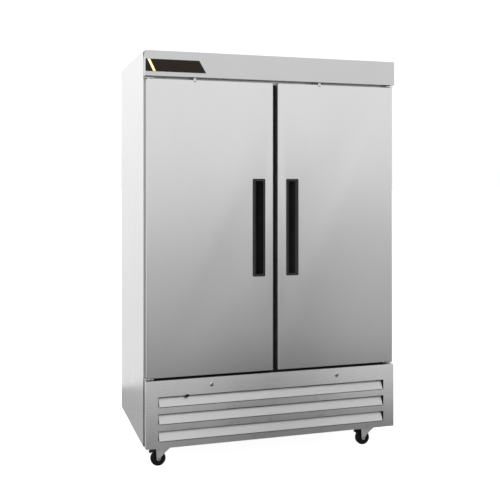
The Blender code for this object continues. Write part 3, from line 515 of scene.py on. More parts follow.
def screw_head(place, radius, height):
    """A low domed head with a cross recess, facing the front."""
    profile = [(radius, 0.0), (radius, height * 0.35), (radius * 0.86, height * 0.72),
               (radius * 0.55, height * 0.95), (radius * 0.15, height)]
    reach, width = radius * 0.72, radius * 0.13
    recess = [box((-x, -y, height * 0.45), (x, y, height * 1.5))
              for x, y in ((reach, width), (width, reach))]
    head = cut(lathe(profile, (0, 0), "Z", 20), *recess)
    return moved(head, Matrix.Translation(place) @ FACING)


def screws(name, places, radius, height=0.0022):
    """Several screw heads as one piece of the cabinet."""
    heads = [screw_head(place, radius, height) for place in places]
    return piece(name, merged(*heads), "screw")


# --- Carried-over CAD nodes ---
BRACKETS = [f"hinge_bracket_{level}_{side}" for level in ("top", "bottom") for side in SIDES]
# CAD nodes that are shown as they are, by finish
CARRIED = {
    "side": ["side_panel_left", "side_panel_right"],
    # the face frame is black breaker plastic, which also darkens the gaps round the doors as painted shade
    "breaker": ["face_frame"],
    "galvanised": ["top_panel", "back_panel", "deck_panel", "base_chassis", "drain_pan", "control_box"],
    "liner": ["liner_left", "liner_right", "liner_back", "liner_ceiling", "liner_floor",
              "evaporator_housing", "door_liner_left", "door_liner_right"],
    "foam": ["foam_tub", "door_foam_left", "door_foam_right"],
    "zinc": ["door_lug_left", "door_lug_right"],
    "pressed": BRACKETS,
    "enamel": ["fan_shroud"],
    "black": ["power_inlet"],
    "lens": ["interior_light"],
    "fins": ["evaporator_coil"],
    "plate": ["name_plate"],
}
# nodes whose sharp edges are rounded, with the width in millimetres
EDGED = {"door_lug_left": 1.2, "door_lug_right": 1.2, "control_box": 2.0, "name_plate": 0.4,
         "interior_light": 4.0, "drain_pan": 0.5, "door_liner_left": 0.4, "door_liner_right": 0.4,
         **{bracket: 0.8 for bracket in BRACKETS}}


def dress_cad():
    """Finishes and rounded edges on the CAD nodes that are shown as they are."""
    for finish, names in CARRIED.items():
        for name in names:
            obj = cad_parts[name]
            obj.data.materials.clear()
            obj.data.materials.append(M[finish])
            weld = obj.modifiers.new("weld", "WELD")
            weld.merge_threshold = 0.00001
            if name in EDGED:
                round_edges(obj, EDGED[name] * MM)


# --- Doors ---
def door_skin(side):
    """Folded outer pan: wide radius on its upright edges, a tight fold at top and bottom."""
    low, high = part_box("door_pan_left")
    fold, radius, sheet = 0.0022, 0.012, 0.001
    pin = (-0.664, -0.387)

    def plan(inset, back):
        left, right, front = low.x + inset, high.x - inset, low.y + inset
        r = radius - inset
        points = arc((left + r, front + r), r, 180, 270, 12)
        points += arc((right - r, front + r), r, 270, 360, 12)
        return [*points, (right, back), (left, back)]

    bm = bmesh.new()
    rings = []
    steps = 4
    turns = [k / steps * math.pi / 2 for k in range(steps + 1)]
    levels = [(fold * (1 - math.sin(a)), low.z + fold * (1 - math.cos(a))) for a in turns]
    levels += [(inset, low.z + high.z - z) for inset, z in reversed(levels)]
    for inset, z in levels:
        rings.append([bm.verts.new((x, y, z)) for x, y in plan(inset, high.y)])
    for here, there in zip(rings, rings[1:]):
        skin(bm, here, there)
    bm.faces.new(rings[0])
    bm.faces.new(rings[-1])
    bmesh.ops.recalc_face_normals(bm, faces=bm.faces)
    hollow = prism(plan(sheet, high.y + sheet), "Z", low.z + sheet, high.z - sheet)
    handle_low, handle_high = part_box("door_handle_left")
    rim, past = 0.006, 0.01
    pocket = box((handle_low.x + rim, low.y - past, handle_low.z + rim),
                 (handle_high.x - rim, low.y + 2 * past, handle_high.z - rim))
    pins = rod(pin, 0.0056, low.z - past, high.z + past, "Z")
    pan = mirrored(cut(bm, hollow, pocket, pins), side)
    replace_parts(piece(f"door_skin_{side}", pan, "door", f"door_{side}", smooth=30),
                f"door_pan_{side}")


def door_pull(side):
    """Recessed grip: a rounded rim and a scoop that deepens under the lip by the free edge."""
    low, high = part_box("door_handle_left")
    rim, wall, lip = 0.012, 0.002, 0.004
    flange = prism(rounded(low.x, low.z, high.x, high.z, 0.006), "Y", FRONT, FACE - 0.0003)
    inset = rim - wall
    cup_outline = rounded(low.x + inset, low.z + inset, high.x - 0.007 + wall, high.z - inset, 0.004)
    cup = prism(cup_outline, "Y", FRONT + 0.001, high.y)
    body = boolean(flange, cup, "UNION")
    left, right = low.x + rim, high.x - rim
    floor = high.y - wall
    depth = floor - FRONT
    scoop = []
    for k in range(17):
        t = k / 16
        scoop.append((left + (right - left) * 0.86 * t, FRONT + depth * math.sin(t * math.pi / 2) ** 1.25))
    outline = [(left, FRONT - 0.004), *scoop, (right + lip - 0.003, floor), (right + lip, floor - 0.003),
               (right + lip, FACE + 0.006), (right + MM, FACE + 0.002), (right, FACE),
               (right, FRONT - 0.004)]
    pocket = prism(outline, "Z", low.z + rim, high.z - rim)
    sharp = [e for e in pocket.edges if e.calc_face_angle(0) > 1.0]
    level = [e for e in sharp if abs(e.verts[0].co.z - e.verts[1].co.z) < MM]
    deep = [e for e in level if max(v.co.y for v in e.verts) > FRONT + 0.001]
    bmesh.ops.bevel(pocket, geom=deep, offset=0.004, segments=4, profile=0.5, affect="EDGES")
    pull = mirrored(cut(body, pocket), side)
    obj = piece(f"door_pull_{side}", pull, "handle", f"door_{side}", edge=0.0009, segments=3)
    # faces deep in the pocket take the darker plastic, painted shade in the recess
    obj.data.materials.append(M["grip"])
    for face in obj.data.polygons:
        if face.center.y > FRONT + 0.004:
            face.material_index = 1
    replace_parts(obj, f"door_handle_{side}")


def hinge_screws(side):
    """Two screws in the leg of each hinge bracket."""
    top, bottom = (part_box(f"hinge_bracket_{level}_left") for level in ("top", "bottom"))
    x = (top[0].x + top[1].x) / 2 * (1 if side == "left" else -1)
    leg = top[1].y - 0.0030
    heights = {"top": (top[1].z - 0.014, top[1].z - 0.050),
               "bottom": (bottom[0].z + 0.012, bottom[0].z + 0.042)}
    for level, rows in heights.items():
        screws(f"hinge_screws_{level}_{side}", [(x, leg, z) for z in rows], 0.0045)


def doors():
    for side in SIDES:
        door_skin(side)
        door_pull(side)
        door_seal(side)
        lug_button(side)
        hinge_screws(side)


def frame_trims():
    """Steel returns on the frame above and beside the doors, clear of the hinge brackets."""
    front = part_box("face_frame")[0].y
    fascia_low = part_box("fascia_panel")[0].z
    seal_low, seal_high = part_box("door_gasket_left")
    door_low, door_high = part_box("door_pan_left")
    bracket_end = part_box("hinge_bracket_top_left")[1].x + 0.001
    face, behind = front - 0.0014, front - 0.0002
    head = box((bracket_end, face, seal_high.z + 0.0010), (-bracket_end, behind, fascia_low - 0.0006))
    piece("head_return", head, "return", edge=0.0004)
    for side in SIDES:
        post = box((-HALF + 0.0006, face, door_low.z - 0.003),
                   (seal_low.x - 0.0010, behind, door_high.z + 0.003))
        piece(f"side_return_{side}", mirrored(post, side), "return", edge=0.0004)


def lug_button(side):
    """A small domed button on the catch block over the door's top edge."""
    profile = [(0.0082, 0.0), (0.0082, 0.0006), (0.0070, 0.0015), (0.0042, 0.0020), (0.0008, 0.0022)]
    lug = f"door_lug_{side}"
    place = Matrix.Translation((centre(lug).x, FACE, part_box(lug)[0].z - 0.0030))
    dome = moved(lathe(profile, (0, 0), "Z", 28), place @ FACING)
    piece(f"lug_button_{side}", dome, "screw", f"door_{side}")


def sweep_frame(section, left, right, low, high):
    """A section of (inward, y) points swept round a rectangle in the XZ plane, mitred."""
    bm = bmesh.new()
    corners = ((left, low, 1, 1), (right, low, -1, 1), (right, high, -1, -1), (left, high, 1, -1))
    rings = [[bm.verts.new((x + sx * inward, y, z + sz * inward)) for inward, y in section]
             for x, z, sx, sz in corners]
    for i in range(4):
        skin(bm, rings[i], rings[(i + 1) % 4])
    bmesh.ops.recalc_face_normals(bm, faces=bm.faces)
    return bm


def door_seal(side):
    """Magnetic seal: dart foot, two folds of bellows and a rounded bulb."""
    low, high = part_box("door_gasket_left")
    foot, tip, w = low.y, high.y, 0.022
    section = [(0, foot), (w, foot), (w, foot + 0.0012), (w * 0.78, foot + 0.0020),
               (w * 0.66, foot + 0.0030), (w * 0.80, foot + 0.0040), (w * 0.74, foot + 0.0052)]
    section += arc((w * 0.82, tip - 0.0032), 0.0030, -60, 90, 6)
    section += [(w - inward, y) for inward, y in reversed(section[2:])]
    seal = mirrored(sweep_frame(section, low.x, high.x, low.z, high.z), side)
    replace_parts(piece(f"door_seal_{side}", seal, "vinyl", f"door_{side}"), f"door_gasket_{side}")


# --- Front covers ---
def folded_cover(low, high, *openings):
    """A sheet folded to a cover with an open back, and openings cut through it."""
    hollow = box((low.x + SHEET, low.y + SHEET, low.z + SHEET),
                 (high.x - SHEET, high.y + 0.01, high.z - SHEET))
    return cut(box(low, high), hollow, *openings)


def fascia():
    """Cover over the doors, with an open fold and a dark pad behind it at each upper end as painted shade
    inside the fold.
    """
    low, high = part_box("fascia_panel")
    past_y, past_z = high.y + MM, high.z + MM
    notch = [(low.y + 0.010, past_z), (past_y, past_z), (past_y, high.z - 0.040)]
    folds = [prism(notch, "X", x - 1.5 * SHEET, x + 1.5 * SHEET) for x in (low.x, high.x)]
    cover = piece("fascia_cover", folded_cover(low, high, *folds), "fascia", edge=0.0005)
    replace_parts(cover, "fascia_panel")
    for side in SIDES:
        # dark pad behind each open fold: painted shade
        pad = box((low.x + 2.0 * SHEET, low.y + 0.006, high.z - 0.046),
                  (low.x + 4.0 * SHEET, high.y - MM, high.z - 1.5 * SHEET))
        piece(f"fascia_fold_shade_pad_{side}", mirrored(pad, side), "foam_rubber", edge=0.0003)


def plate_stripe():
    """A plain diagonal stripe across the name plate."""
    low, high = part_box("name_plate")
    margin, width = 0.0012, 0.013
    top, bottom = high.z - margin, low.z + margin
    x_top, x_bottom = low.x + 0.009, low.x + 0.038
    outline = [(x_top, top), (x_top + width, top), (x_bottom + width, bottom), (x_bottom, bottom)]
    stripe = prism(outline, "Y", low.y - 0.0005, low.y + 0.0003)
    piece("name_plate_stripe", stripe, "stripe", "cabinet", "plate")


def louvre_line(front, bottom):
    """Middle line of a blade in (y, z): a short lip, a bend, and the slope up and inwards."""
    run, rise, bend = 0.024, 0.050, 0.003
    slope = math.atan2(rise, run)
    line = [(front, bottom - 0.004), (front, bottom - 0.001)]
    for k in range(1, 6):
        a = k / 5 * (math.pi / 2 - slope)
        line.append((front + bend * (1 - math.cos(a)), bottom - 0.001 + bend * math.sin(a)))
    y, z = line[-1]
    length = math.hypot(run, rise) - bend
    return [*line, (y + math.cos(slope) * length, z + math.sin(slope) * length)]


def grille():
    """Louvred base cover: framed openings with sloped blades."""
    low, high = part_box("grille_panel")
    half, height, lowest, pitch = 0.620, 0.050, 0.141, 0.0855
    bottoms = [lowest + pitch * k for k in range(3)]
    windows = [box((-half, low.y - 0.01, z), (half, low.y + 0.01, z + height)) for z in bottoms]
    cover = piece("grille_cover", folded_cover(low, high, *windows), "grille", edge=0.0005)
    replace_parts(cover, "grille_panel")
    clearance = 0.005
    for number, bottom in enumerate(bottoms, start=1):
        outline = thickened(louvre_line(low.y + SHEET / 2, bottom), SHEET / 2)
        blade = prism(outline, "X", -half + clearance, half - clearance)
        piece(f"louvre_blade_{number}", blade, "louvre")


def grille_fasteners():
    """Two slotted fasteners in the cover's top rail, each with a dark bottom in its slot."""
    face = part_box("grille_panel")[0].y
    x, z = 0.3446, 0.407
    slant = Matrix.Rotation(0.75, 4, "Z")
    profile = [(0.0112, 0.0), (0.0112, 0.0008), (0.0094, 0.0019), (0.0052, 0.0025), (0.0008, 0.0027)]
    for side, sign in (("left", -1), ("right", 1)):
        place = Matrix.Translation((sign * x, face, z)) @ FACING
        slot = moved(box((-0.0100, -0.0027, 0.0006), (0.0100, 0.0027, 0.01)), slant)
        head = cut(lathe(profile, (0, 0), "Z", 28), slot)
        piece(f"grille_fastener_{side}", moved(head, place), "screw")
        # black insert at the bottom of each slot: painted shade in the slot
        bottom = moved(box((-0.0098, -0.0026, 0.0003), (0.0098, 0.0026, 0.0008)), slant)
        piece(f"fastener_slot_shade_{side}", moved(bottom, place), "slot")


def grille_trim():
    """A black tab in the top louvre, dark strips behind the cover's ends as painted shade in the seams,
    and a black seal on its top edge that also stands in for the shade in the gap above it.
    """
    low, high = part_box("grille_panel")
    x, top, bottom = -0.472, 0.3660, 0.3505
    outline = [(x - 0.012, top), (x + 0.012, top), (x + 0.003, bottom), (x - 0.005, bottom)]
    tab = prism(outline, "Y", low.y - 0.0008, low.y + 0.0035)
    piece("grille_tab", tab, "moulded", edge=0.0006)
    skin_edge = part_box("side_panel_left")[0].y
    # dark strips behind the cover's ends: painted shade in the seams
    for side in SIDES:
        strip = box((low.x - 0.0030, high.y + 0.0002, low.z + 0.002),
                    (low.x + 0.0140, skin_edge - 0.0003, high.z - 0.002))
        piece(f"grille_seam_shade_{side}", mirrored(strip, side), "foam_rubber", edge=0.0003)
    end = HALF - 0.050
    # black seal on the cover's top edge, which also darkens the gap under the doors as painted shade
    seal = box((-end, low.y + 0.004, high.z + 0.0001), (end, high.y - MM, high.z + 0.0016))
    piece("grille_seal", seal, "vinyl", "cabinet", "black_plastic", 0.0004)


def thickened(line, half):
    """A line of points in a plane as a closed outline, half a thickness to each side."""
    sides = [[], []]
    for k, point in enumerate(line):
        before, after = line[max(k - 1, 0)], line[min(k + 1, len(line) - 1)]
        dx, dy = after[0] - before[0], after[1] - before[1]
        scale = half / math.hypot(dx, dy)
        sides[0].append((point[0] - dy * scale, point[1] + dx * scale))
        sides[1].append((point[0] + dy * scale, point[1] - dx * scale))
    return [*sides[0], *reversed(sides[1])]


def intake_filter():
    """A black open-cell filter that hangs behind the louvres; its black also serves as painted shade seen
    past the blades.
    """
    low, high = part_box("grille_panel")
    pad = box((low.x + 0.003, high.y - 0.0135, low.z + 0.004),
              (high.x - 0.003, high.y - 0.0035, high.z - 0.006))
    piece("intake_filter", pad, "filter", edge=0.001)


# --- Casters ---
def caster_axes(name):
    """A caster's axle as (x, y, z), with the x of its swivel."""
    x, y, z = centre(f"caster_wheel_{name}")
    return x, y, z, x + 0.042


def both_sides(side, y):
    """A half profile of (radius, half width), repeated on both sides of the plane at y."""
    return [(r, y - w) for r, w in side] + [(r, y + w) for r, w in reversed(side)]


def hexagon(middle, radius, start, end, axis):
    """A nut or a bolt head with softened edges."""
    nut = prism(arc(middle, radius, 0, 300, 5), axis, start, end)
    bmesh.ops.bevel(nut, geom=list(nut.edges), offset=radius * 0.08, segments=2, affect="EDGES")
    return nut


def caster_tyre(name):
    """Rubber tyre with rounded shoulders, on a ribbed hub. The axle's height is its radius."""
    x, y, radius = centre(f"caster_wheel_{name}")
    half, shoulder = 0.0150, 0.0055
    side = [(0.0265, half - 0.0030), (0.0280, half - 0.0012), (0.0300, half - 0.0006)]
    side += arc((radius - shoulder, half - 0.0062), shoulder, 90, 0, 6)
    tyre = piece(f"tyre_{name}", lathe(both_sides(side, y), (x, radius), "Y", 64, ring=True),
                 "tread", f"wheel_{name}")
    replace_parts(tyre, f"caster_wheel_{name}")
    side = [(0.0052, half), (0.0100, half), (0.0112, half - 0.0008), (0.0125, half - 0.0052),
            (0.0235, half - 0.0058), (0.0250, half - 0.0030), (0.0264, half - 0.0030)]
    hub = lathe(both_sides(side, y), (x, radius), "Y", 48, ring=True)
    ribs = []
    for k in range(6):
        turn = Matrix.Translation((x, y, radius)) @ Matrix.Rotation(math.radians(60 * k), 4, "Y")
        ribs.append(moved(box((0.0118, -half + 0.0025, -0.0009), (0.0250, half - 0.0025, 0.0009)), turn))
    piece(f"hub_{name}", merged(hub, *ribs), "moulded", f"wheel_{name}", "tread", 0.0003)


def caster_yoke(name):
    """Pressed fork: domed crown, swept legs with rolled edges, axle bolt with head and nut."""
    x, y, z, swivel = caster_axes(name)
    low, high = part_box(f"caster_fork_{name}")
    top, body = high.z, f"fork_{name}"
    inside, leg = 0.0176, 0.0024
    a, d = Vector((swivel + 0.0225, top - 0.0055)), Vector((x + 0.0105, z + 0.0040))
    b, c = Vector((swivel + 0.0020, top - 0.0200)), Vector((x + 0.0200, z + 0.0180))
    lead = [(swivel + 0.0235, top - 0.0032)]
    for k in range(13):
        t = k / 12
        u = 1 - t
        lead.append(tuple(u ** 3 * a + 3 * u ** 2 * t * b + 3 * u * t * t * c + t ** 3 * d))
    sole = arc((x, z), 0.0100, 8, -188, 16)
    trail = [(x - 0.0112, z + 0.0180), (x - 0.0128, z + 0.0380), (x - 0.0134, top - 0.0085),
             (x - 0.0120, top - 0.0048), (x - 0.0096, top - 0.0032)]
    spans = (sorted((y + sign * inside, y + sign * (inside + leg))) for sign in (-1, 1))
    legs = [prism([*lead, *sole, *trail], "Y", near, far) for near, far in spans]
    piece(f"fork_legs_{name}", merged(*legs), "pressed", body, edge=0.0008, segments=3)
    crown = lathe([(0.0236, top - 0.0058), (0.0239, top - 0.0030), (0.0222, top - 0.0010),
                   (0.0180, top - 0.0002), (0.0040, top)], (swivel, y), "Z", 48)
    reach = inside + leg - 0.0002
    web = box((x - 0.0098, y - reach, top - 0.0058), (swivel + 0.0215, y + reach, top - 0.0030))
    rivet = lathe([(0.0085, top - 0.0095), (0.0092, top - 0.0082), (0.0092, top - 0.0056)],
                  (swivel, y), "Z", 28)
    crown_piece = piece(f"fork_crown_{name}", merged(crown, web, rivet), "pressed", body, edge=0.0006)
    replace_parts(crown_piece, f"caster_fork_{name}")
    half = (high.y - low.y) / 2
    shank = rod((x, z), 0.0040, y - half + 0.001, y + half - 0.001, "Y", 24)
    head = hexagon((x, z), 0.0068, y - half + 0.0002, y - half + 0.0042, "Y")
    nut = hexagon((x, z), 0.0068, y + half - 0.0042, y + half - 0.0002, "Y")
    piece(f"axle_bolt_{name}", merged(shank, head, nut), "screw", body)


def caster_plate(name):
    """Bolt heads and their washers, under the chassis pad."""
    _, y, _, swivel = caster_axes(name)
    pad_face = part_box("base_chassis")[0].z + 0.0030
    bolts = []
    for at in [(swivel + dx, y + dy) for dx in (-0.040, 0.040) for dy in (-0.032, 0.032)]:
        bolts.append(hexagon(at, 0.0058, pad_face - 0.0029, pad_face + 0.0005, "Z"))
        bolts.append(rod(at, 0.0078, pad_face - 0.0008, pad_face + 0.0004, "Z", 28))
    piece(f"caster_bolts_{name}", merged(*bolts), "screw")


def pedal(name):
    """Moulded brake lever with grip ribs and a hinge eye."""
    low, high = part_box(f"brake_pedal_{name}")
    x, y, _ = centre(f"caster_wheel_{name}")
    pivot_z = 0.0845
    reach, drop = x - low.x, pivot_z - low.z
    upper, lower = [], []
    for k in range(13):
        t = k / 12
        across = x - 0.004 - (reach - 0.005) * t
        height = pivot_z + 0.0048 - (drop - 0.006) * t ** 1.8
        upper.append((across, height))
        lower.append((across + 0.0006 * t, height - 0.0062 - 0.0008 * math.sin(t * math.pi)))
    tip = arc((upper[-1][0] + 0.0004, upper[-1][1] - 0.0031), 0.0031, 100, 260, 6)
    eye = arc((x, pivot_z), 0.0046, -60, 60, 6)
    lever = prism([*eye, *upper, *tip, *reversed(lower)], "Y", low.y + 0.0004, high.y - 0.0004)
    ribs = []
    for k in range(6, 12):
        px, pz = upper[k]
        slope = math.atan2(upper[k][1] - upper[k - 1][1], upper[k - 1][0] - upper[k][0])
        turn = Matrix.Translation((px, y, pz)) @ Matrix.Rotation(-slope, 4, "Y")
        ribs.append(moved(box((-0.0006, -0.0125, -0.0008), (0.0006, 0.0125, 0.0007)), turn))
    body = piece(f"pedal_{name}", lever, "moulded", f"pedal_{name}", edge=0.0008, segments=3)
    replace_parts(body, f"brake_pedal_{name}")
    piece(f"pedal_ribs_{name}", merged(*ribs), "moulded", f"pedal_{name}", edge=0.0002)


def casters():
    for name in CASTERS:
        caster_tyre(name)
        caster_yoke(name)
        caster_plate(name)
        if name.startswith("front"):
            pedal(name)


# --- Inside the cabinet ---
def wire_shelf(section, level):
    """Coated wire shelf: a border loop, three cross bars and close wires over them."""
    body = f"shelf_{section}_{level}"
    low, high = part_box(body)
    r = 0.0031
    z = high.z - 0.0028 - r
    inset = r + 0.0002
    x0, x1, y0, y1 = low.x + inset, high.x - inset, low.y + inset, high.y - inset
    start = (x0 + 0.08, y0, z)
    thick = [bent([start, (x1, y0, z), (x1, y1, z), (x0, y1, z), (x0, y0, z), start], 0.012)]
    for t in (0.25, 0.5, 0.75):
        y = y0 + (y1 - y0) * t
        thick.append([(x0, y, z), (x1, y, z)])
    frame_bars = tubes(f"shelf_border_{section}_{level}", thick, r, "coat", body, 2, False)
    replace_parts(frame_bars, f"shelf_{section}_{level}")
    fine, count, margin, ease = 0.0014, 25, 0.006, 0.004
    top = high.z - fine
    wires = []
    for k in range(count):
        x = x0 + margin + (x1 - x0 - 2 * margin) * k / (count - 1)
        wires.append([(x, y0, top - MM), (x, y0 + ease, top), (x, y1 - ease, top), (x, y1, top - MM)])
    tubes(f"shelf_wires_{section}_{level}", wires, fine, "coat", body, 1, False)


def pierced_strip(axis_x, axis_y, low, high, facing):
    """A shelf standard: a strip with a row of slots, facing along +X, -X, +Y or -Y."""
    width, slot, pitch = 0.018, 0.009, 0.0254
    levels = [low]
    rows = int((high - low - 0.02) / pitch)
    for k in range(rows):
        bottom = low + 0.010 + pitch * k
        levels += [bottom, bottom + slot]
    levels.append(high)
    columns = [-width / 2, -0.002, 0.002, width / 2]
    bm = bmesh.new()
    grid = {}

    def vert(i, j, d):
        if (i, j, d) not in grid:
            grid[i, j, d] = bm.verts.new((columns[i], d, levels[j]))
        return grid[i, j, d]

    solid = {(i, j) for i in range(3) for j in range(len(levels) - 1) if not (i == 1 and j % 2 == 1)}
    for i, j in solid:
        for d in (0.0, STANDARD):
            bm.faces.new((vert(i, j, d), vert(i + 1, j, d), vert(i + 1, j + 1, d), vert(i, j + 1, d)))
        for (ni, nj), a, b in (((i - 1, j), (i, j), (i, j + 1)), ((i + 1, j), (i + 1, j), (i + 1, j + 1)),
                               ((i, j - 1), (i, j), (i + 1, j)), ((i, j + 1), (i, j + 1), (i + 1, j + 1))):
            if (ni, nj) not in solid:
                bm.faces.new((vert(*a, 0.0), vert(*b, 0.0), vert(*b, STANDARD), vert(*a, STANDARD)))
    bmesh.ops.recalc_face_normals(bm, faces=bm.faces)
    turn = {"-Y": 0.0, "+X": math.pi / 2, "-X": -math.pi / 2, "+Y": math.pi}[facing]
    return moved(bm, Matrix.Translation((axis_x, axis_y, 0)) @ Matrix.Rotation(turn, 4, "Z"))


def clip(wall, direction, axis, across, top, reach=0.024, half=0.007):
    """A clip hooked in a standard: a tongue that reaches out from a wall, and its upright leg.

    The wall is a place along the axis, the tongue runs along it in the direction, and the clip
    is centred on a place across it."""
    parts = []
    for far, low, high, width in ((reach, 0.0020, 0.0, half), (0.0036, 0.018, 0.0015, 0.007)):
        a, b = sorted((wall + direction * 0.0018, wall + direction * far))
        if axis == "X":
            parts.append(box((a, across - width, top - low), (b, across + width, top - high)))
        else:
            parts.append(box((across - width, a, top - low), (across + width, b, top - high)))
    return parts


def shelf_supports():
    """Standards on the side walls, the back and the mullion, with clips under each shelf's edges."""
    inner = -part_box("liner_left")[1].x
    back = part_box("liner_back")[0].y
    mullion_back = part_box("face_frame")[1].y
    low, high = 0.520, 1.640
    shelf_low, shelf_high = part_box("shelf_left_1")
    rows = (shelf_low.y + 0.035, shelf_high.y - 0.035)
    off = STANDARD + 0.0002
    strips = [pierced_strip(sign * (inner - off), y, low, high, facing)
              for y in rows for sign, facing in ((-1, "+X"), (1, "-X"))]
    strips.append(pierced_strip(0.0, back - off, low, high, "-Y"))
    strips.append(pierced_strip(0.0, mullion_back + off, low, high, "+Y"))
    piece("shelf_standards", merged(*strips), "screw", "cabinet", "galvanised")
    clips = []
    middle_reach = shelf_low.y + 0.016 - mullion_back
    for level in LEVELS:
        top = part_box(f"shelf_left_{level}")[0].z - 0.0004
        for y in rows:
            clips += clip(-inner, 1, "X", y, top) + clip(inner, -1, "X", y, top)
        clips += clip(back, -1, "Y", 0.0, top, half=0.030)
        clips += clip(mullion_back, 1, "Y", 0.0, top, middle_reach, 0.030)
    piece("shelf_clips", merged(*clips), "zinc", edge=0.0004)


def fan(name, node, hub, blades):
    """Moulded fan: curved, twisted blades on a domed hub, turning about Y."""
    low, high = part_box(node)
    middle = (low + high) / 2
    radius = (high.z - low.z) / 2 - 0.0005
    depth = high.y - low.y
    parts = [lathe([(hub * 0.25, middle.y - depth * 0.40), (hub * 0.80, middle.y - depth * 0.34),
                    (hub, middle.y - depth * 0.20), (hub, middle.y + depth * 0.40),
                    (hub * 0.25, middle.y + depth * 0.40)], (middle.x, middle.z), "Y", 40)]
    stations, across = 7, 8
    for number in range(blades):
        turn = 2 * math.pi * number / blades
        bm = bmesh.new()
        layers = []
        for face in (-0.0007, 0.0007):
            rows = []
            for i in range(stations + 1):
                t = i / stations
                r = hub * 0.9 + (radius - hub * 0.9) * t
                sweep = math.radians(34 + 16 * math.sin(t * math.pi * 0.8))
                pitch = depth * (0.74 - 0.20 * t)
                row = []
                for k in range(across + 1):
                    u = k / across - 0.5
                    angle = turn + u * sweep + 0.16 * t
                    camber = 0.08 * depth * math.cos(u * math.pi)
                    reach = r - (0.06 * radius * (2 * u) ** 4 if i == stations else 0.0)
                    x, z = middle.x + reach * math.cos(angle), middle.z + reach * math.sin(angle)
                    row.append(bm.verts.new((x, middle.y + u * pitch + camber + face, z)))
                rows.append(row)
            layers.append(rows)
        for rows in layers:
            for i in range(stations):
                for k in range(across):
                    bm.faces.new((rows[i][k], rows[i + 1][k], rows[i + 1][k + 1], rows[i][k + 1]))
        rim = [(i, 0) for i in range(stations + 1)]
        rim += [(stations, k) for k in range(1, across + 1)]
        rim += [(i, across) for i in range(stations - 1, -1, -1)]
        rim += [(0, k) for k in range(across - 1, 0, -1)]
        for (i, k), (j, m) in zip(rim, [*rim[1:], rim[0]]):
            bm.faces.new((layers[0][i][k], layers[0][j][m], layers[1][j][m], layers[1][i][k]))
        bmesh.ops.recalc_face_normals(bm, faces=bm.faces)
        parts.append(bm)
    rotor = piece(name, merged(*parts), "black", node)
    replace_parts(rotor, node)


def ring_points(middle, radius, y):
    """A closed ring of points that faces along Y."""
    return [(u, y, v) for u, v in arc(middle, radius, 0, 360, 48)]


def fan_guard():
    """Wire guard over the evaporator cover's ring."""
    x, _, z = centre("evaporator_fan")
    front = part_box("evaporator_housing")[0].y
    y = front - 0.0050
    rings = [ring_points((x, z), r, y) for r in (0.016, 0.030, 0.044, 0.058, 0.072)]
    rings.append(ring_points((x, z), 0.088, front - 0.0022))
    spokes = []
    for angle in (45, 135, 225, 315):
        c, s = math.cos(math.radians(angle)), math.sin(math.radians(angle))
        bends = ((0.012, y + 0.0018), (0.078, y + 0.0018), (0.092, front - 0.0015))
        spokes.append(bent([(x + r * c, depth, z + r * s) for r, depth in bends], 0.006))
    tubes("evaporator_guard", [*rings, *spokes], 0.0011, "zinc", "cabinet", 1)


def knob():
    """Fluted thermostat knob with a pointer line, over a plain ring of ticks."""
    low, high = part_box("thermostat_knob")
    x, _, z = centre("thermostat_knob")
    back, front = high.y, low.y
    flutes = []
    for k in range(72):
        a = 2 * math.pi * k / 72
        r = 0.0176 + 0.0011 * math.cos(18 * a)
        flutes.append((x + r * math.cos(a), z + r * math.sin(a)))
    skirt = prism(flutes, "Y", back - 0.0085, back)
    bar = rounded(x - 0.0038, z - 0.0155, x + 0.0038, z + 0.0155, 0.0034)
    grip = prism(bar, "Y", front, back - 0.0080)
    dial = piece("knob_body", merged(skirt, grip), "black", "thermostat_knob", edge=0.0007, segments=3)
    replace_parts(dial, "thermostat_knob")
    line = box((x - 0.0007, front - 0.0001, z + 0.0040), (x + 0.0007, front + 0.0006, z + 0.0150))
    piece("knob_pointer", line, "white", "thermostat_knob", "black_plastic")
    ticks = []
    for k in range(10):
        turn = Matrix.Rotation(math.radians(30 * k - 225), 4, "Y")
        tick = box((0.0215, 0.0, -0.0005), (0.0245 + 0.0004 * k, 0.0002, 0.0005))
        ticks.append(moved(tick, Matrix.Translation((x, back, z)) @ turn))
    piece("knob_ticks", merged(*ticks), "black")


def interior_trim():
    """Screws of the evaporator cover, and the ends of the light."""
    low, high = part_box("evaporator_housing")
    columns, rows = (-0.285, -0.145, 0.145, 0.285), (low.z + 0.012, high.z - 0.012)
    screws("evaporator_screws", [(x, low.y, z) for x in columns for z in rows], 0.0042, 0.0020)
    low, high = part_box("interior_light")
    caps = [box((x, low.y - 0.002, low.z - 0.001), (x + 0.014, high.y + 0.002, high.z))
            for x in (low.x - 0.012, high.x - 0.002)]
    piece("light_ends", merged(*caps), "white", "cabinet", "lens", 0.003, 3)


def drain():
    """The evaporator's drain hose down the back, its straps, and the drain in the floor."""
    x, back = 0.205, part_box("liner_back")[0].y
    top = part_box("evaporator_housing")[0].z
    y = back - 0.0085
    hose = [(x, back - 0.030, top + 0.004), (x, y, top - 0.030), (x, y, 0.520), (x, y, 0.477)]
    tubes("drain_hose", [bent(hose, 0.030, 6)], 0.0062, "grey", "cabinet", 4)
    straps = [box((x - 0.0085, back - 0.0158, z - 0.006), (x + 0.0085, back - 0.0002, z + 0.006))
              for z in (1.50, 1.16, 0.81, 0.55)]
    piece("drain_clips", merged(*straps), "white", "cabinet", "zinc", 0.0015)
    floor_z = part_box("liner_floor")[1].z
    profile = [(0.022, 0.0001), (0.022, 0.0010), (0.016, 0.0022), (0.006, 0.0016)]
    outlet = lathe([(r, floor_z + h) for r, h in profile], (x, back - 0.032), "Z", 40)
    piece("floor_drain", outlet, "screw")


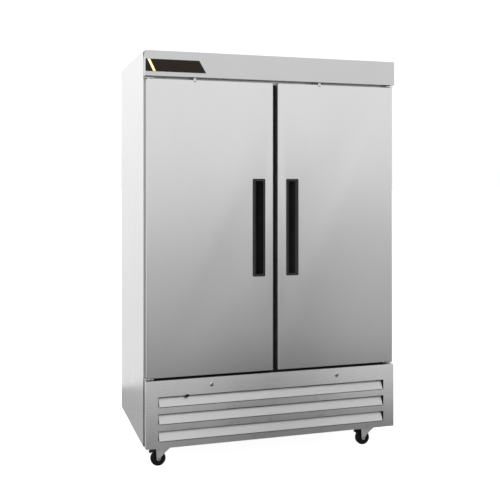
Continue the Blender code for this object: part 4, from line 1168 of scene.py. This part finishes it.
# --- Condensing unit ---
def condenser():
    """Fin pack between two end plates, with rows of copper tube and their return bends."""
    low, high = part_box("condenser_coil")
    plates = [box((x, low.y, low.z), (x + SHEET, high.y, high.z)) for x in (low.x, high.x - SHEET)]
    end_plates = piece("condenser_end_plates", merged(*plates), "galvanised")
    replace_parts(end_plates, "condenser_coil")
    pitch, thickness = 0.0042, 0.00035
    fins = []
    for k in range(int((high.x - low.x - 0.008) / pitch)):
        x = low.x + 0.005 + pitch * k
        fins.append(box((x, low.y + 0.002, low.z + MM), (x + thickness, high.y - 0.002, high.z - MM)))
    piece("condenser_fins", merged(*fins), "fins")
    rows, margin, out = 8, 0.022, 0.011
    levels = [low.z + margin + (high.z - low.z - 2 * margin) * k / (rows - 1) for k in range(rows)]
    ends = (high.x + out, low.x - out)
    runs = []
    for y in (low.y + 0.017, high.y - 0.017):
        route = []
        for k, z in enumerate(levels):
            near, far = ends if k % 2 == 0 else reversed(ends)
            route += [(near, y, z), (far, y, z)]
        runs.append(bent(route, 0.010))
    tubes("condenser_tubes", runs, 0.0042, "copper", "cabinet", 2)


def compressor():
    """Hermetic compressor: domed shell with a weld seam, terminal cover, foot on grommets."""
    low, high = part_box("compressor")
    x, y, _ = centre("compressor")
    base, dome, radius = low.z, low.z + 0.120, 0.0805
    profile = [(0.020, base + 0.0125), (0.070, base + 0.0130), (0.079, base + 0.0190),
               (0.0825, base + 0.030), (0.0825, base + 0.084), (0.0838, base + 0.0855),
               (0.0838, base + 0.0905), (0.0810, base + 0.0920), (radius, dome)]
    for k in range(1, 10):
        a = math.radians(9 * k)
        profile.append((radius * math.cos(a) ** 0.8, dome + 0.056 * math.sin(a)))
    body = piece("compressor_shell", lathe(profile, (x, y), "Z", 64), "enamel")
    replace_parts(body, "compressor")
    inset = 0.002
    foot = box((low.x + inset, low.y + inset, base + 0.0100),
               (high.x - inset, high.y - inset, base + 0.0130))
    piece("compressor_foot", foot, "enamel", edge=0.0008)
    grommet = [(0.0050, 0.0), (0.0100, 0.0004), (0.0108, 0.0030), (0.0085, 0.0050), (0.0108, 0.0075),
               (0.0098, 0.0150), (0.0050, 0.0158)]
    corners = [(x + dx, y + dy) for dx in (-0.084, 0.084) for dy in (-0.064, 0.064)]
    grommets = [lathe([(r, base + h) for r, h in grommet], at, "Z", 28) for at in corners]
    piece("compressor_grommets", merged(*grommets), "tread")
    bolts = [hexagon(at, 0.0062, base + 0.0158, base + 0.0200, "Z") for at in corners]
    piece("compressor_bolts", merged(*bolts), "screw")
    cover = box((x - 0.026, y - 0.100, base + 0.050), (x + 0.026, y - 0.076, base + 0.112))
    piece("terminal_cover", cover, "black", edge=0.004, segments=4)


def pipework():
    """Discharge, liquid and suction lines with the filter drier, and the compressor's lead."""
    discharge = [(-0.300, 0.075, 0.232), (-0.262, 0.060, 0.232), (-0.200, 0.020, 0.300),
                 (-0.060, -0.180, 0.330), (0.020, -0.298, 0.350), (0.052, -0.298, 0.350)]
    to_drier = [(0.049, -0.272, 0.130), (0.005, -0.272, 0.140), (-0.020, -0.200, 0.160),
                (-0.020, -0.140, 0.160)]
    from_drier = [(-0.020, -0.020, 0.160), (-0.020, 0.050, 0.170), (-0.120, 0.110, 0.260),
                  (-0.120, 0.300, 0.330), (-0.120, 0.300, 0.392)]
    runs = [bent(discharge, 0.030, 6), bent(to_drier, 0.020, 6), bent(from_drier, 0.030, 6)]
    tubes("pipes", runs, 0.0040, "copper", "cabinet", 3)
    suction = [(-0.390, 0.165, 0.200), (-0.400, 0.215, 0.230), (-0.400, 0.300, 0.300),
               (-0.400, 0.300, 0.392)]
    tubes("suction_insulation", [bent(suction, 0.030, 6)], 0.0130, "foam_rubber", "cabinet", 4)
    drier = [(0.0045, -0.145), (0.0060, -0.138), (0.0150, -0.118), (0.0155, -0.112), (0.0155, -0.048),
             (0.0150, -0.042), (0.0060, -0.022), (0.0045, -0.015)]
    piece("filter_drier", lathe(drier, (-0.020, 0.160), "Y", 32), "copper", "cabinet", "zinc")
    lead = [(-0.360, -0.002, 0.200), (-0.360, -0.060, 0.190), (-0.430, -0.160, 0.150),
            (-0.478, -0.270, 0.150)]
    tubes("compressor_lead", [bent(lead, 0.030, 6)], 0.0045, "black", "cabinet", 3)


def electrics():
    """Screws of the control box, and the pins of the power inlet."""
    low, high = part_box("control_box")
    columns, rows = (low.x + 0.012, high.x - 0.012), (low.z + 0.015, high.z - 0.015)
    screws("control_screws", [(x, low.y, z) for x in columns for z in rows], 0.0042, 0.0020)
    x, _, z = centre("power_inlet")
    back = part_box("power_inlet")[1].y
    pins = [box((x + dx - 0.0028, back - 0.0130, z + dz - 0.0009),
                (x + dx + 0.0028, back - 0.0030, z + dz + 0.0009))
            for dx, dz in ((-0.011, -0.003), (0.011, -0.003), (0.0, 0.006))]
    piece("inlet_pins", merged(*pins), "screw", edge=0.0003)


# --- Stage: camera, floor and light ---
def camera():
    """A level camera at the left of the front, framed with lens shift."""
    data = bpy.data.cameras.new("camera")
    data.sensor_width = 36.0
    data.lens = 57.88
    data.shift_x, data.shift_y = -0.0013, -0.1309
    data.clip_end = 200.0
    obj = bpy.data.objects.new("camera", data)
    distance, height, turned = 3.97, 1.425, -17.25
    obj.location = (-1.37, FACE - distance, height)
    obj.rotation_euler = (math.radians(90), 0, math.radians(turned))
    bpy.context.scene.collection.objects.link(obj)
    bpy.context.scene.camera = obj


def emitting(name):
    """The nodes of a stage material that only glows, in white."""
    return Nodes(name, (0.0, 0.0, 0.0), 1.0, Specular_IOR_Level=0.0, Emission_Color=WHITE)


def sheet(name, facing, place, low, high, material):
    """A flat stage piece across an axis, between two corners in its plane."""
    bm = bmesh.new()
    corners = (low, (high[0], low[1]), high, (low[0], high[1]))
    bm.faces.new([bm.verts.new(PLACE[facing](*corner, place)) for corner in corners])
    mesh = bpy.data.meshes.new(name)
    bm.to_mesh(mesh)
    bm.free()
    mesh.materials.append(material)
    obj = bpy.data.objects.new(name, mesh)
    bpy.context.scene.collection.objects.link(obj)
    return obj


def reflection_only(obj):
    """Hides a stage piece from everything but glossy surfaces."""
    obj.visible_camera = False
    obj.visible_diffuse = False
    obj.visible_shadow = False


def axis_value(m, axis):
    """One coordinate of the shaded point, as a socket."""
    return m.node("SeparateXYZ", {"Vector": m.place})[axis]


def floor():
    """A plain pale floor out to the horizon, left out of reflections."""
    far, glow = 400, 0.82
    m = Nodes("floor", (0.80, 0.80, 0.80), 0.9, Emission_Color=WHITE, Emission_Strength=glow)
    m.set(Base_Color=m.mix(m.noise(3.0), (0.79, 0.79, 0.79), (0.81, 0.81, 0.81)))
    sheet("floor", "Z", 0.0, (-far, -far), (far, far), m.material).visible_glossy = False


def floor_in_reflections():
    """What the steel mirrors below the horizon: a grey floor, darker close to the cabinet."""
    m = emitting("floor_reflected")
    y = axis_value(m, "Y")
    in_front = m.spread(y, 0.19, 0.51, -0.6, -2.6)
    beside = m.spread(y, 0.19, 0.45, -0.5, 0.0)
    m.set(Emission_Strength=m.math("MAXIMUM", in_front, beside))
    far, behind = 12, 1.3
    reflection_only(sheet("floor_reflected", "Z", -0.002, (-far, -far), (far, behind), m.material))


def soft_card(name, facing, place, across, along, glow, cover):
    """A soft-edged card that only reflections see, standing across Y or lying across Z.

    Across and along hold its middle, its half width and the half width that isn't faded.
    """
    m = emitting(name)
    m.set(Emission_Strength=glow)
    share = cover
    for axis, (middle, half, full) in zip("XZ" if facing == "Y" else "XY", (across, along)):
        away = m.math("ABSOLUTE", m.math("SUBTRACT", axis_value(m, axis), middle), 0.0)
        share = m.math("MULTIPLY", m.spread(away, 1.0, 0.0, full, half), share)
    clear = m.node("BsdfTransparent")["BSDF"]
    blend = m.node("MixShader", {"Fac": share, 1: clear, 2: m.shader.outputs["BSDF"]})["Shader"]
    m.fill(m.tree.nodes["Material Output"].inputs["Surface"], blend)
    low, high = ((across[0] + sign * across[1], along[0] + sign * along[1]) for sign in (-1, 1))
    if facing == "Y":
        low = (low[0], max(low[1], 0.0))
    reflection_only(sheet(name, facing, place, low, high, m.material))


def cards():
    """Cards that shade the steel: upright before the doors and the rail, and flat on the floor."""
    dark, darker, light, lying = 0.20, 0.08, 0.80, 0.004
    soft_card("card_doors", "Y", -1.75, (0.46, 0.62, 0.05), (0.00, 1.18, 0.25), dark, 0.49)
    soft_card("card_middle", "Y", -1.76, (0.50, 0.42, 0.12), (0.76, 0.50, 0.22), dark, 0.30)
    soft_card("card_wide", "Y", -1.78, (0.40, 1.30, 0.65), (1.20, 0.42, 0.12), dark, 0.07)
    soft_card("card_right", "Y", -1.77, (1.06, 0.85, 0.45), (1.22, 0.45, 0.12), dark, 0.14)
    soft_card("card_rail", "Y", -1.20, (0.24, 0.48, 0.05), (0.00, 0.30, 0.16), darker, 0.55)
    soft_card("card_floor", "Z", lying, (0.36, 1.10, 0.35), (-0.90, 0.50, 0.30), darker, 0.57)
    soft_card("card_floor_right", "Z", lying, (1.60, 1.00, 0.40), (-2.20, 0.95, 0.60), light, 0.35)


def sky():
    """An even white studio, a little dimmer below the horizon than above it."""
    world = bpy.data.worlds.new("studio")
    world.use_nodes = True
    nodes, links = world.node_tree.nodes, world.node_tree.links
    background = nodes["Background"]
    background.inputs["Color"].default_value = (1.0, 1.0, 1.0, 1.0)
    split = nodes.new("ShaderNodeSeparateXYZ")
    ramp = nodes.new("ShaderNodeMapRange")
    for socket, value in (("From Min", -0.16), ("From Max", 0.16), ("To Min", 0.88), ("To Max", 1.12)):
        ramp.inputs[socket].default_value = value
    links.new(nodes.new("ShaderNodeTexCoord").outputs["Generated"], split.inputs["Vector"])
    links.new(split.outputs["Z"], ramp.inputs["Value"])
    links.new(ramp.outputs["Result"], background.inputs["Strength"])
    bpy.context.scene.world = world
    bpy.context.scene.view_settings.view_transform = "Standard"


def key_light():
    """One wide soft light from above the front left, aimed at the cabinet's middle."""
    light = bpy.data.lights.new("key", "AREA")
    light.shape = "RECTANGLE"
    light.size, light.size_y = 3.5, 2.5
    light.energy = 60
    obj = bpy.data.objects.new("key", light)
    obj.location = (-2.0, -3.5, 4.2)
    aim = Vector((0, 0, 1.0)) - obj.location
    obj.rotation_euler = aim.to_track_quat("-Z", "Y").to_euler()
    obj.visible_glossy = False
    bpy.context.scene.collection.objects.link(obj)


def stage():
    camera()
    floor()
    floor_in_reflections()
    cards()
    sky()
    key_light()


stage()
dress_cad()
doors()
frame_trims()
fascia()
plate_stripe()
grille()
grille_fasteners()
grille_trim()
intake_filter()
casters()
for section in SIDES:
    for level in LEVELS:
        wire_shelf(section, level)
shelf_supports()
fan("evaporator_rotor", "evaporator_fan", 0.020, 5)
fan("condenser_rotor", "condenser_fan", 0.026, 5)
fan_guard()
knob()
interior_trim()
drain()
condenser()
compressor()
pipework()
electrics()
